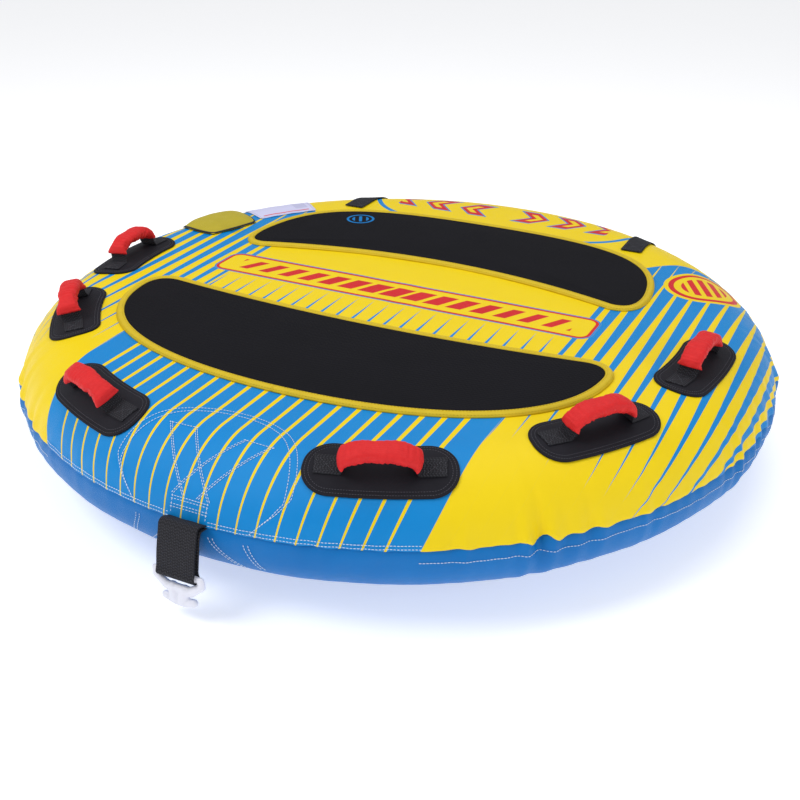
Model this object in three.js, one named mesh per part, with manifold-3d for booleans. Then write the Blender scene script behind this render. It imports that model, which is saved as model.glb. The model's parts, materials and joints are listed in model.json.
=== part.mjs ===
// Round two-rider towable tube, inflated: millimetres, +Z up, tow point towards -Y.
// The origin is the middle of the underside, on the surface that the tube lies on.
// Angles round the tube are measured from the tow point, positive towards +X.
import * as THREE from "three";
import { mergeVertices } from "three/addons/utils/BufferGeometryUtils.js";
import Module from "manifold-3d";

const wasm = await Module();
wasm.setup();

// Envelope of the inflated cover.
const tubeRadius = 800;
const tubeHeight = 285;
const waistHeight = 150;
const deckRadius = 655; // the deck is flat out to here, then rolls over the rim
const footRadius = 310; // the underside is flat out to here
const seamHeight = 172; // top and bottom covers are sewn together here
const coverThickness = 2;
const bladderInset = 12; // from the outside of the cover to the outside of the bladder
const bladderWall = 3;

// Fits between neighbouring pieces.
const sewnGap = 0.5;
const curvedLift = 1.2; // what lies on the faceted rim stands this far off its true surface

// Facets.
const coverSegments = 64;
const bladderSegments = 36;
const rimSteps = 7;
const bilgeSteps = 7;

const rimReach = tubeRadius - deckRadius;
const rimRise = tubeHeight - waistHeight;
const rimMean = (rimReach + rimRise) / 2;
const seamTurn = Math.acos((seamHeight - waistHeight) / rimRise);
const bilgeReach = tubeRadius - footRadius;
const bilgePower = 0.855;

const radians = THREE.MathUtils.degToRad;
const tube = new THREE.Group();

// ---------------------------------------------------------------- surfaces and solids

const outward = (angle) => new THREE.Vector3(Math.sin(angle), -Math.cos(angle), 0);

// A point of the rim's quarter ellipse: turn is 0 at the deck and a quarter turn at the waist.
function rimPoint(turn) {
  const normal = new THREE.Vector2(Math.sin(turn) / rimReach, Math.cos(turn) / rimRise).normalize();
  return {
    r: deckRadius + rimReach * Math.sin(turn),
    z: waistHeight + rimRise * Math.cos(turn),
    normal,
  };
}

// A point of the bilge, the curve from the waist down to the flat underside.
function bilgePoint(turn) {
  const at = (t) =>
    new THREE.Vector2(
      footRadius + bilgeReach * Math.max(Math.cos(t), 0) ** bilgePower,
      waistHeight * (1 - Math.max(Math.sin(t), 0) ** bilgePower),
    );
  const step = 1e-3;
  const along = at(Math.min(turn + step, Math.PI / 2)).sub(at(Math.max(turn - step, 0)));
  const point = at(turn);
  return { r: point.x, z: point.y, normal: new THREE.Vector2(-along.y, along.x).normalize() };
}

const placed = (profile, angle) => ({
  p: outward(angle).multiplyScalar(profile.r).setZ(profile.z),
  n: outward(angle).multiplyScalar(profile.normal.x).setZ(profile.normal.y),
});

// The outside of the top cover, at a distance from the tube's axis measured along the cover.
function onTop(angle, distance) {
  if (distance > deckRadius) return placed(rimPoint((distance - deckRadius) / rimMean), angle);
  return { p: outward(angle).multiplyScalar(distance).setZ(tubeHeight), n: new THREE.Vector3(0, 0, 1) };
}

// The outside of the bottom cover, at a radius between the foot and the waist.
function onBilge(angle, radius) {
  const share = (radius - footRadius) / bilgeReach;
  return placed(bilgePoint(Math.acos(share ** (1 / bilgePower))), angle);
}

function facingOut(geometry) {
  const p = geometry.getAttribute("position");
  const index = geometry.index.array;
  const [a, b, c] = [0, 1, 2].map(() => new THREE.Vector3());
  let volume = 0;
  for (let i = 0; i < index.length; i += 3) {
    a.fromBufferAttribute(p, index[i]);
    b.fromBufferAttribute(p, index[i + 1]);
    c.fromBufferAttribute(p, index[i + 2]);
    volume += a.dot(b.cross(c));
  }
  if (volume < 0) geometry.index.array.reverse();
  return geometry;
}

function bare(geometry) {
  geometry.deleteAttribute("normal");
  geometry.deleteAttribute("uv");
  return mergeVertices(geometry, 1e-3);
}

// A closed sheet between two offsets of a grid of surface points.
// at(u, v) gives a point p and its unit normal n, for u and v from 0 to 1.
function sheet(rows, cols, at, low, high) {
  const position = [];
  const index = [];
  const stride = cols + 1;
  const layer = (rows + 1) * stride;
  for (const offset of [low, high])
    for (let i = 0; i <= rows; i++)
      for (let j = 0; j <= cols; j++) {
        const { p, n } = at(i / rows, j / cols);
        position.push(...p.clone().addScaledVector(n, offset).toArray());
      }
  const quad = (a, b, c, d) => index.push(a, b, c, a, c, d);
  const wall = (a, b) => quad(layer + b, layer + a, a, b);
  for (let i = 0; i < rows; i++)
    for (let j = 0; j < cols; j++) {
      const a = i * stride + j;
      quad(layer + a, layer + a + 1, layer + a + stride + 1, layer + a + stride);
      quad(a + stride, a + stride + 1, a + 1, a);
    }
  for (let j = 0; j < cols; j++) {
    wall(j, j + 1);
    wall(rows * stride + j + 1, rows * stride + j);
  }
  for (let i = 0; i < rows; i++) {
    wall((i + 1) * stride, i * stride);
    wall(i * stride + cols, (i + 1) * stride + cols);
  }
  const geometry = new THREE.BufferGeometry();
  geometry.setAttribute("position", new THREE.Float32BufferAttribute(position, 3));
  geometry.setIndex(index);
  return facingOut(geometry);
}

// A solid of revolution about +Z from [radius, height] pairs.
function turned(pairs, segments) {
  const points = pairs.map(([r, z]) => new THREE.Vector2(r, z));
  const closed = points[0].x > 0 && !points[0].equals(points.at(-1));
  if (closed) points.push(points[0].clone());
  return facingOut(bare(new THREE.LatheGeometry(points, segments)).rotateX(Math.PI / 2));
}

function extruded(shape, depth, curveSegments = 6, bevel = 0) {
  const geometry = new THREE.ExtrudeGeometry(shape, {
    depth: depth - 2 * bevel,
    curveSegments,
    bevelEnabled: bevel > 0,
    bevelThickness: bevel,
    bevelSize: bevel,
    bevelOffset: -bevel,
    bevelSegments: 2,
  });
  return facingOut(bare(geometry.translate(0, 0, bevel)));
}

function solid(geometry) {
  return new wasm.Manifold(
    new wasm.Mesh({
      numProp: 3,
      vertProperties: geometry.getAttribute("position").array,
      triVerts: new Uint32Array(geometry.index.array),
    }),
  );
}

function geometryOf(made) {
  const mesh = made.getMesh();
  const geometry = new THREE.BufferGeometry();
  geometry.setAttribute("position", new THREE.BufferAttribute(mesh.vertProperties, 3));
  geometry.setIndex(new THREE.BufferAttribute(mesh.triVerts, 1));
  return geometry;
}

function cut(geometry, ...tools) {
  return geometryOf(tools.reduce((left, tool) => left.subtract(solid(tool)), solid(geometry)));
}

const block = (x, y, z) => bare(new THREE.BoxGeometry(x, y, z));
const post = (radius, height, sides) => turned([[0, 0], [radius, 0], [radius, height], [0, height]], sides);

// ---------------------------------------------------------------- materials

const finish = (color, roughness, metalness = 0) =>
  new THREE.MeshStandardMaterial({ color, roughness, metalness });

const printedNylon = finish(0xe6c60a, 0.55);
const blueNylon = finish(0x0a5fae, 0.55);
const clearVinyl = finish(0xb9c2c8, 0.35);
const blackFoam = finish(0x121216, 0.85);
const yellowTrim = finish(0xe3bd1c, 0.6);
const neoprene = finish(0x26252b, 0.8);
const blackWebbing = finish(0x1b1a1e, 0.9);
const redNylon = finish(0xe3272b, 0.6);
const whitePlastic = finish(0xeeeef6, 0.4);
const blackPlastic = finish(0x151517, 0.45);
const labelFilm = finish(0xe4e4f4, 0.5);
const flapFabric = finish(0xc3b022, 0.75);
const zipCoil = finish(0x1a1a1c, 0.5);

function add(name, geometry, material, parent = tube) {
  const mesh = new THREE.Mesh(geometry, material);
  mesh.name = name;
  parent.add(mesh);
  return mesh;
}

// ---------------------------------------------------------------- covers and bladder

const offset = ({ r, z, normal }, inset) => [r - normal.x * inset, z - normal.y * inset];
const steps = (count, from, to) =>
  Array.from({ length: count + 1 }, (_, i) => from + ((to - from) * i) / count);

// Profiles run outwards from the axis.
const topProfile = (inset, lastTurn, count) => [
  [0, tubeHeight - inset],
  ...steps(count, 0, lastTurn).map((turn) => offset(rimPoint(turn), inset)),
];
const bottomProfile = (inset, count) => [
  [0, inset],
  [footRadius, inset],
  ...steps(count, Math.PI / 2, 0).slice(1).map((turn) => offset(bilgePoint(turn), inset)),
];
const seamProfile = (inset) =>
  steps(1, (Math.PI / 2 + seamTurn) / 2, seamTurn + sewnGap / rimRise).map((turn) =>
    offset(rimPoint(turn), inset),
  );

// The valve stands on the flat deck, left of the rear pad.
const valveAngle = radians(-109.8);
const valveDistance = 618;
const valveCentre = onTop(valveAngle, valveDistance).p;
const coverHole = 30;
const bladderHole = 20;
const atValve = (geometry, z) => geometry.translate(valveCentre.x, valveCentre.y, z);

// The tow webbing comes out through a slot in the seam.
const towWidth = 76;
const slotCutter = () => block(towWidth + 4, 60, 9).translate(0, -tubeRadius, seamHeight);

// Drain eyelets in the bilge.
const drainRadius = 640;
const drainAngles = {
  drain_front_left: -40, drain_front_right: 40,
  drain_rear_left: -130, drain_rear_right: 130,
};
function drainFrame(angle) {
  const { p, n } = onBilge(angle, drainRadius);
  return { p, turn: new THREE.Quaternion().setFromUnitVectors(new THREE.Vector3(0, 0, 1), n) };
}
function onDrain(geometry, angle) {
  const { p, turn } = drainFrame(angle);
  return geometry.applyQuaternion(turn).translate(p.x, p.y, p.z);
}

function topCover() {
  const outer = topProfile(0, seamTurn, rimSteps);
  const inner = topProfile(coverThickness, seamTurn, rimSteps).reverse();
  const hole = atValve(post(coverHole, 20, 20), tubeHeight - 10);
  return cut(turned([...outer, ...inner], coverSegments), hole, slotCutter());
}

function bottomCover() {
  const outer = [...bottomProfile(0, bilgeSteps), ...seamProfile(0)];
  const inner = [...bottomProfile(coverThickness, bilgeSteps), ...seamProfile(coverThickness)].reverse();
  const holes = Object.values(drainAngles).map((angle) =>
    onDrain(post(7, 20, 10).translate(0, 0, -10), radians(angle)),
  );
  return cut(turned([...outer, ...inner], coverSegments), ...holes, slotCutter());
}

function bladder() {
  const wall = (inset) => [
    ...topProfile(inset, Math.PI / 2, rimSteps - 1),
    ...bottomProfile(inset, bilgeSteps - 1).slice(0, -1).reverse(),
  ];
  const outer = turned(wall(bladderInset), bladderSegments);
  const inner = turned(wall(bladderInset + bladderWall), bladderSegments);
  const hole = atValve(post(bladderHole, 40, 16), tubeHeight - bladderInset - 20);
  return geometryOf(solid(outer).subtract(solid(inner)).subtract(solid(hole)));
}

add("top_cover", topCover(), printedNylon);
add("bottom_cover", bottomCover(), blueNylon);
add("bladder", bladder(), clearVinyl);

// Five I-beam baffles tie the bladder's top to its bottom and keep the deck flat.
const baffleSpacing = 120;
const baffleFlange = 40;
const baffleWeb = 2;
const baffleClear = 1;
const baffleReach = footRadius + 20;

function baffle(x) {
  const low = bladderInset + bladderWall + baffleClear;
  const high = tubeHeight - low;
  const flange = baffleFlange / 2;
  const web = baffleWeb / 2;
  const corners = [
    [-flange, low], [flange, low], [flange, low + baffleWeb], [web, low + baffleWeb],
    [web, high - baffleWeb], [flange, high - baffleWeb], [flange, high], [-flange, high],
    [-flange, high - baffleWeb], [-web, high - baffleWeb],
    [-web, low + baffleWeb], [-flange, low + baffleWeb],
  ];
  const halfLength = Math.sqrt(baffleReach ** 2 - (Math.abs(x) + flange) ** 2);
  const shape = new THREE.Shape(corners.map(([a, b]) => new THREE.Vector2(a, b)));
  return extruded(shape, 2 * halfLength).rotateX(Math.PI / 2).translate(x, halfLength, 0);
}

[-2, -1, 0, 1, 2].forEach((place) => {
  add(`bladder_baffle_${place + 3}`, baffle(place * baffleSpacing), clearVinyl);
});

// ---------------------------------------------------------------- body pads and their trim

const padThickness = 6;
const trimThickness = 4;
const trimWidth = 15;
const padCurve = 7;

// Half outlines from the middle of the side that faces the tow point, mirrored about x = 0.
function frontPadOutline() {
  const shape = new THREE.Shape();
  shape.moveTo(0, -505);
  shape.bezierCurveTo(300, -505, 505, -400, 518, -215);
  shape.bezierCurveTo(522, -172, 500, -152, 465, -155);
  shape.quadraticCurveTo(0, -215, -465, -155);
  shape.bezierCurveTo(-500, -152, -522, -172, -518, -215);
  shape.bezierCurveTo(-505, -400, -300, -505, 0, -505);
  return shape.getPoints(padCurve).slice(0, -1);
}

function rearPadOutline() {
  const shape = new THREE.Shape();
  shape.moveTo(0, 495);
  shape.bezierCurveTo(-320, 497, -462, 440, -478, 215);
  shape.bezierCurveTo(-480, 160, -465, 134, -430, 138);
  shape.quadraticCurveTo(0, 286, 430, 138);
  shape.bezierCurveTo(465, 134, 480, 160, 478, 215);
  shape.bezierCurveTo(462, 440, 320, 497, 0, 495);
  return shape.getPoints(padCurve).slice(0, -1);
}

// The outline moved outwards by a distance; both outlines run anticlockwise.
function grown(outline, distance) {
  return outline.map((point, i) => {
    const before = outline.at(i - 1);
    const after = outline[(i + 1) % outline.length];
    const along = after.clone().sub(before).normalize();
    return point.clone().add(new THREE.Vector2(along.y, -along.x).multiplyScalar(distance));
  });
}

function padAndTrim(name, outline) {
  const rest = tubeHeight + sewnGap;
  add(`${name}_pad`, extruded(new THREE.Shape(outline), padThickness).translate(0, 0, rest), blackFoam);
  const ring = new THREE.Shape(grown(outline, sewnGap + trimWidth));
  ring.holes.push(new THREE.Path(grown(outline, sewnGap)));
  add(`${name}_pad_trim`, extruded(ring, trimThickness).translate(0, 0, rest), yellowTrim);
}

padAndTrim("front", frontPadOutline());
padAndTrim("rear", rearPadOutline());

// ---------------------------------------------------------------- handles

const guardLength = 256;
const guardWidth = 104;
const guardCorner = 49;
const guardThickness = 3.5;
const gripSpan = 124; // between the middles of the two feet
const gripRise = 44; // of the webbing at the top of the arch
const gripWidth = 48;
const gripThickness = 18;
const webWidth = 38;
const webThickness = 2.4;
const footGap = 6; // between the guard and the gathered feet of the arch
const footHalf = 5;
const footFlare = 1.3;
const sleeveLift = 19; // height of the sleeve's ends over the guard

// Each handle's angle from the tow point and distance from the tube's axis.
const handles = {
  front_left: [-23.5, 715], front_right: [23.5, 715],
  middle_left: [-55.5, 680], middle_right: [55.5, 680],
  rear_left: [-84.5, 662], rear_right: [84.5, 662],
};

// A rounded plate that follows the cover, centred on a point of it.
function plateOnTop(angle, distance, length, width, corner) {
  const radius = onTop(angle, distance).p.setZ(0).length();
  const halfWidth = (u) => {
    const past = Math.max(Math.abs(u) - (length / 2 - corner), 0);
    return width / 2 - corner + Math.sqrt(Math.max(corner ** 2 - past ** 2, 0));
  };
  return (a, b) => {
    const u = (length / 2) * Math.sin((a - 0.5) * Math.PI);
    return onTop(angle + u / radius, distance + (2 * b - 1) * halfWidth(u));
  };
}

// The arch's middle line in the handle's own frame: x along the span and z away from the cover.
const archPoint = (turn) =>
  new THREE.Vector3((-gripSpan / 2) * Math.cos(turn), 0, gripRise * Math.sin(turn));

class Arch extends THREE.Curve {
  constructor(from, to) {
    super();
    this.from = from;
    this.to = to;
  }
  getPoint(t, target = new THREE.Vector3()) {
    return target.copy(archPoint(this.from + (this.to - this.from) * t));
  }
}

function roundedSection(width, thickness, power, points) {
  return steps(points, 0, 2 * Math.PI).slice(0, -1).map((a) => {
    const bend = (x) => Math.sign(x) * Math.abs(x) ** power;
    return new THREE.Vector2((width / 2) * bend(Math.cos(a)), (thickness / 2) * bend(Math.sin(a)));
  });
}

function gripSleeve() {
  const shape = new THREE.Shape(roundedSection(gripWidth, gripThickness, 0.7, 10));
  const slot = [[-1, -1], [-1, 1], [1, 1], [1, -1]].map(
    ([a, b]) => new THREE.Vector2((a * (webWidth + 2)) / 2, (b * (webThickness + 2)) / 2),
  );
  shape.holes.push(new THREE.Path(slot));
  const turn = Math.asin(sleeveLift / gripRise);
  const geometry = new THREE.ExtrudeGeometry(shape, {
    steps: 10,
    extrudePath: new Arch(turn, Math.PI - turn),
    bevelEnabled: false,
  });
  return facingOut(bare(geometry));
}

// The webbing narrows towards its feet, where it is gathered into the guard.
function handleWebbing() {
  const start = Math.asin(footGap / gripRise);
  return sheet(12, 1, (a, b) => {
    const turn = start + (Math.PI - 2 * start) * (0.5 - 0.5 * Math.cos(a * Math.PI));
    const p = archPoint(turn);
    const half = Math.min(webWidth / 2, footHalf + (p.z - footGap) * footFlare);
    const n = new THREE.Vector3(-Math.cos(turn) / gripSpan * 2, 0, Math.sin(turn) / gripRise).normalize();
    return { p: p.setY((2 * b - 1) * half), n };
  }, -webThickness / 2, webThickness / 2);
}

Object.entries(handles).forEach(([place, [degrees, distance]]) => {
  const angle = radians(degrees);
  const guard = sheet(
    12, 4, plateOnTop(angle, distance, guardLength, guardWidth, guardCorner),
    curvedLift, curvedLift + guardThickness,
  );
  add(`${place}_handle_guard`, guard, neoprene);
  const { p, n } = onTop(angle, distance);
  const span = new THREE.Vector3(Math.cos(angle), Math.sin(angle), 0);
  const frame = new THREE.Group();
  frame.quaternion.setFromRotationMatrix(new THREE.Matrix4().makeBasis(span, n.clone().cross(span), n));
  frame.position.copy(p).addScaledVector(n, curvedLift + guardThickness);
  add(`${place}_handle_grip`, gripSleeve(), redNylon, frame);
  add(`${place}_handle_webbing`, handleWebbing(), blackWebbing, frame);
  tube.add(frame);
});

// ---------------------------------------------------------------- tow point

const towAxis = new THREE.Vector3(0, -818, seamHeight - 2);
const towLean = radians(12); // of the hanging strap, away from the tube
const towLength = 80; // from the swing axis to the hook's bar
const towThickness = 9;
const barRadius = 6;
const eyeRadius = 11;

// A short stub of the webbing comes through the seam's slot from the harness.
add("tow_webbing_anchor", block(towWidth, 22.5, 6).translate(0, -800.8, seamHeight), blackWebbing);

// The strap's two layers part round the hook's bar.
function towStrap() {
  const shape = new THREE.Shape();
  const half = towThickness / 2;
  const meet = Math.sqrt(eyeRadius ** 2 - half ** 2);
  const side = Math.atan2(meet, half);
  shape.moveTo(-half, 0);
  shape.absarc(0, 0, half, Math.PI, 2 * Math.PI, false);
  shape.lineTo(half, towLength - meet);
  shape.absarc(0, towLength, eyeRadius, -side, Math.PI + side, false);
  shape.closePath();
  shape.holes.push(new THREE.Path().absarc(0, towLength, barRadius + 1.2, 0, 2 * Math.PI, true));
  return extruded(shape, towWidth, 8).translate(0, 0, -towWidth / 2);
}

const alongStrap = new THREE.Vector3(0, -Math.sin(towLean), -Math.cos(towLean));
const acrossTube = new THREE.Vector3(1, 0, 0);
const strapFrame = new THREE.Group();
strapFrame.position.copy(towAxis);
strapFrame.quaternion.setFromRotationMatrix(
  new THREE.Matrix4().makeBasis(alongStrap.clone().cross(acrossTube), alongStrap, acrossTube),
);
add("tow_strap", towStrap(), blackWebbing, strapFrame);
tube.add(strapFrame);

// The moulded hook: an eye round the strap's fold, a neck, and a cross-bar that holds the rope's loop.
const hookThickness = 14;
const hookBevel = 2;
const eyeInside = 40;
const eyeOutside = 48;
const neckHalf = 12;
const flukeHalf = 36;

function towHook() {
  const outline = new THREE.Shape();
  outline.moveTo(-eyeInside, 5);
  outline.lineTo(-eyeOutside, 5);
  outline.lineTo(-eyeOutside, -14);
  outline.quadraticCurveTo(-eyeOutside, -26, -24, -29);
  outline.quadraticCurveTo(-neckHalf, -31, -neckHalf, -36);
  outline.quadraticCurveTo(-neckHalf, -46, -20, -46);
  outline.lineTo(-flukeHalf + 4, -43);
  outline.quadraticCurveTo(-flukeHalf - 1, -47, -flukeHalf + 4, -54);
  outline.quadraticCurveTo(-18, -64, 0, -64);
  outline.quadraticCurveTo(18, -64, flukeHalf - 4, -54);
  outline.quadraticCurveTo(flukeHalf + 1, -47, flukeHalf - 4, -43);
  outline.lineTo(20, -46);
  outline.quadraticCurveTo(neckHalf, -46, neckHalf, -36);
  outline.quadraticCurveTo(neckHalf, -31, 24, -29);
  outline.quadraticCurveTo(eyeOutside, -26, eyeOutside, -14);
  outline.lineTo(eyeOutside, 5);
  outline.lineTo(eyeInside, 5);
  outline.lineTo(eyeInside, -17);
  outline.lineTo(-eyeInside, -17);
  outline.closePath();
  const body = extruded(outline, hookThickness, 4, hookBevel);
  body.translate(0, 0, -hookThickness / 2).rotateX(Math.PI / 2);
  const bar = post(barRadius, 2 * eyeInside + 10, 12).rotateY(Math.PI / 2).translate(-eyeInside - 5, 0, 0);
  return geometryOf(solid(body).add(solid(bar)));
}

const hookFrame = new THREE.Group();
hookFrame.position.copy(towAxis).addScaledVector(alongStrap, towLength);
add("tow_hook", towHook(), whitePlastic, hookFrame);
tube.add(hookFrame);

// Two webbing legs, sewn to the inside of the top cover, cross above the slot and spread the tow load.
const legWidth = 55;
const legLength = 165;
const legSpread = radians(26); // from the line straight back
const legStart = 828;
const legLayers = { harness_leg_left: [-6.2, -4.6], harness_leg_right: [-9, -7.4] };
function harnessLeg(side, layer) {
  return sheet(12, 2, (a, b) => {
    const along = a * legLength;
    const across = (b - 0.5) * legWidth;
    const distance = legStart - along * Math.cos(legSpread) + across * Math.sin(legSpread);
    const sideways = along * Math.sin(legSpread) + across * Math.cos(legSpread);
    return onTop((side * sideways) / (tubeRadius - 30), distance);
  }, ...layer);
}
Object.entries(legLayers).forEach(([name, layer], i) => {
  add(name, harnessLeg(i === 0 ? -1 : 1, layer), blackWebbing);
});

// ---------------------------------------------------------------- boarding strap

const strapWidth = 50;
const strapThickness = 2.4;
const strapX = 372;
const strapStart = 488;
const strapLastTurn = radians(86);

// The sewn ends run straight back over the rear rim, at a constant x.
function sewnEnd(side) {
  return sheet(11, 2, (a, b) => {
    const x = side * strapX + (b - 0.5) * strapWidth;
    const flat = 3 / 11;
    const edge = Math.sqrt(deckRadius ** 2 - x ** 2);
    if (a <= flat) {
      const y = strapStart + ((edge - strapStart) * a) / flat;
      return { p: new THREE.Vector3(x, y, tubeHeight), n: new THREE.Vector3(0, 0, 1) };
    }
    const point = rimPoint((strapLastTurn * (a - flat)) / (1 - flat));
    const y = Math.sqrt(point.r ** 2 - x ** 2);
    return placed(point, Math.atan2(x, -y));
  }, curvedLift, curvedLift + strapThickness);
}
add("boarding_strap_end_left", sewnEnd(-1), blackWebbing);
add("boarding_strap_end_right", sewnEnd(1), blackWebbing);

// The free part hangs across the stern between the two ends.
const loopRadius = tubeRadius + 8;
const loopTurn = Math.asin(strapX / loopRadius);
const loopTop = 146;
const loopBottom = 52;
function boardingLoop() {
  return sheet(20, 1, (a, b) => {
    const share = 2 * a - 1;
    const angle = Math.PI - share * loopTurn;
    const slope = (2 * (loopTop - loopBottom) * share) / (loopRadius * loopTurn);
    const across = new THREE.Vector2(-slope, 1).normalize().multiplyScalar((b - 0.5) * strapWidth * 0.8);
    const z = loopBottom + (loopTop - loopBottom) * share ** 2 + across.y;
    const n = outward(angle - across.x / loopRadius);
    return { p: n.clone().multiplyScalar(loopRadius).setZ(z), n };
  }, 0, strapThickness);
}
add("boarding_strap_loop", boardingLoop(), blackWebbing);

// ---------------------------------------------------------------- valve, flap and label

const valveBore = 15;
const bladderTop = tubeHeight - bladderInset;
add(
  "valve_base",
  atValve(
    turned([
      [valveBore, -24], [18, -24], [18, sewnGap], [34, sewnGap], [34, 3.5],
      [24, 3.5], [24, 13], [valveBore, 13],
    ], 20),
    bladderTop,
  ),
  blackPlastic,
);

const capBase = bladderTop + 13 + sewnGap;
function valveCap() {
  const disc = turned([[0, -8], [valveBore - 1, -8], [valveBore - 1, 0], [27, 0], [27, 4], [0, 4]], 20);
  const ridge = block(42, 8, 5).translate(0, 0, 6);
  return geometryOf(solid(disc).add(solid(ridge)));
}
add("valve_cap", atValve(valveCap(), capBase), blackPlastic);

// The valve's flap is sewn along its edge nearest the middle of the deck and domes over the cap.
const flapLength = 164;
const flapWidth = 124;
const flapDome = 16;
const flapThickness = 2.4;
const flapDistance = 645;
function flapPoint(a, b) {
  const u = 2 * a - 1;
  const v = 2 * b - 1;
  const x = (flapLength / 2) * u * (1 - 0.12 * v ** 2);
  const y = (flapWidth / 2) * v * (1 - 0.12 * u ** 2);
  const { p, n } = onTop(valveAngle + x / flapDistance, flapDistance + y);
  return { p: p.addScaledVector(n, flapDome * (1 - u ** 4) * (1 - v ** 4)), n };
}
add("valve_flap", sheet(12, 8, flapPoint, curvedLift + 0.3, curvedLift + 0.3 + flapThickness), flapFabric);

const label = sheet(6, 4, plateOnTop(radians(-126), 655, 166, 92, 6), curvedLift, curvedLift + 0.8);
add("safety_label", label, labelFilm);

// ---------------------------------------------------------------- zip and drains on the underside

const zipRadius = 715;
const zipTurn = radians(76);
const zipWidth = 32;
const alongZip = (width) => (a, b) =>
  onBilge(Math.PI + (a - 0.5) * zipTurn, zipRadius + (b - 0.5) * width);
add("zip_tape", sheet(18, 2, alongZip(zipWidth), curvedLift, curvedLift + 1.6), blackWebbing);
add("zip_coil", sheet(18, 1, alongZip(7), curvedLift + 2.1, curvedLift + 4), zipCoil);

// The slider and its pull wait at the closed end.
const zipEnd = Math.PI - 0.47 * zipTurn;
const onZipEnd = (length, width, ahead) => (a, b) =>
  onBilge(zipEnd + (ahead + (a - 0.5) * length) / zipRadius, zipRadius + (b - 0.5) * width);
add("zip_slider", sheet(2, 1, onZipEnd(24, 14, 0), curvedLift + 4.6, curvedLift + 8.6), blackPlastic);
add("zip_pull", sheet(2, 1, onZipEnd(34, 9, 10), curvedLift + 9.2, curvedLift + 11), blackPlastic);

for (const [name, degrees] of Object.entries(drainAngles)) {
  const ring = turned([[7.5, 1], [14, 1], [14, 3], [7.5, 3]], 16);
  add(name, onDrain(ring, radians(degrees)), blackPlastic);
}

export default tube;
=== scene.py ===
import json
import math

import bmesh
import bpy
import numpy as np
from mathutils import Matrix, Vector


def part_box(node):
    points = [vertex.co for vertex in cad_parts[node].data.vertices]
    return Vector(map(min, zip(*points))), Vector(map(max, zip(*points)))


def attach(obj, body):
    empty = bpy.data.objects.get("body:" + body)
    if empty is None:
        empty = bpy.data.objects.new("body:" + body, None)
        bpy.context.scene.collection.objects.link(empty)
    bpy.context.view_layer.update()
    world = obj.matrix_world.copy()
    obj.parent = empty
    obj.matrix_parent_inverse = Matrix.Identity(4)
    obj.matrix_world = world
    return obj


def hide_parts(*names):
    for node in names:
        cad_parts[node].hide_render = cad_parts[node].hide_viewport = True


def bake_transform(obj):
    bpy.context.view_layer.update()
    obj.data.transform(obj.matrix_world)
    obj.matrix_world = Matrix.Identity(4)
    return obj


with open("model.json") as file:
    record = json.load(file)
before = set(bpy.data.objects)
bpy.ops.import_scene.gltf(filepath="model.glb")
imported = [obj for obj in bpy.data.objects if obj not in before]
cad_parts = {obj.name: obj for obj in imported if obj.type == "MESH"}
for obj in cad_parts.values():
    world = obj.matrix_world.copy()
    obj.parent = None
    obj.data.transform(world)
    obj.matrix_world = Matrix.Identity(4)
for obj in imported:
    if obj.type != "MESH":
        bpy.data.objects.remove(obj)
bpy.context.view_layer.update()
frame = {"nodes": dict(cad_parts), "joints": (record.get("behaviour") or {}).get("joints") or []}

scene = bpy.context.scene


# The shape of the inflated cover, shared by everything that lies on it

topLow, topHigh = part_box("top_cover")
cover = {
    "radius": topHigh[0],
    "height": topHigh[2],
    "seamHeight": topLow[2],   # the two covers are sewn together here
    "waistHeight": 0.150,
    "deckRadius": 0.655,       # flat out to here, then a quarter ellipse over the rim
    "footRadius": 0.310,
    "bilgePower": 0.855,
    "wall": 0.002,
    "columns": 960,
    "puckerDepth": 0.0052, "edgeWave": 0.0034, "puckerReach": 0.034, "swellReach": 0.085,
    "foldReach": 0.05, "slackReach": 0.13, "slackDepth": 0.0022,
    "hemDepth": 0.011,
    "seamAllowance": 0.011,
    "tuck": 0.0026,            # how far the lower panel sits under the upper one at the seam
}
rimReach = cover["radius"] - cover["deckRadius"]
rimRise = cover["height"] - cover["waistHeight"]
rimMean = (rimReach + rimRise) / 2
bilgeReach = cover["radius"] - cover["footRadius"]
seamTurn = math.acos((cover["seamHeight"] - cover["waistHeight"]) / rimRise)
seamDistance = cover["deckRadius"] + rimMean * seamTurn
waistDistance = cover["deckRadius"] + rimMean * math.pi / 2


def outward(angle):
    return np.stack([np.sin(angle), -np.cos(angle), np.zeros_like(angle)], -1)


def turned(angle, radius, height):
    place = outward(angle) * radius[..., None]
    place[..., 2] = height
    return place


# Points and normals of the top cover. Angles start at the tow point; distance runs along the cloth.
def onDeck(angle, distance):
    angle, distance = np.broadcast_arrays(np.asarray(angle, float), np.asarray(distance, float))
    turn = np.clip(distance - cover["deckRadius"], 0, None) / rimMean
    radius = np.minimum(distance, cover["deckRadius"]) + rimReach * np.sin(turn)
    slope = np.stack([np.sin(turn) / rimReach, np.cos(turn) / rimRise])
    slope = slope / np.linalg.norm(slope, axis=0)
    height = cover["waistHeight"] + rimRise * np.cos(turn)
    return turned(angle, radius, height), turned(angle, slope[0], slope[1])


def onCloth(u, v):
    return onDeck(np.arctan2(u, -v), np.hypot(u, v))


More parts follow.
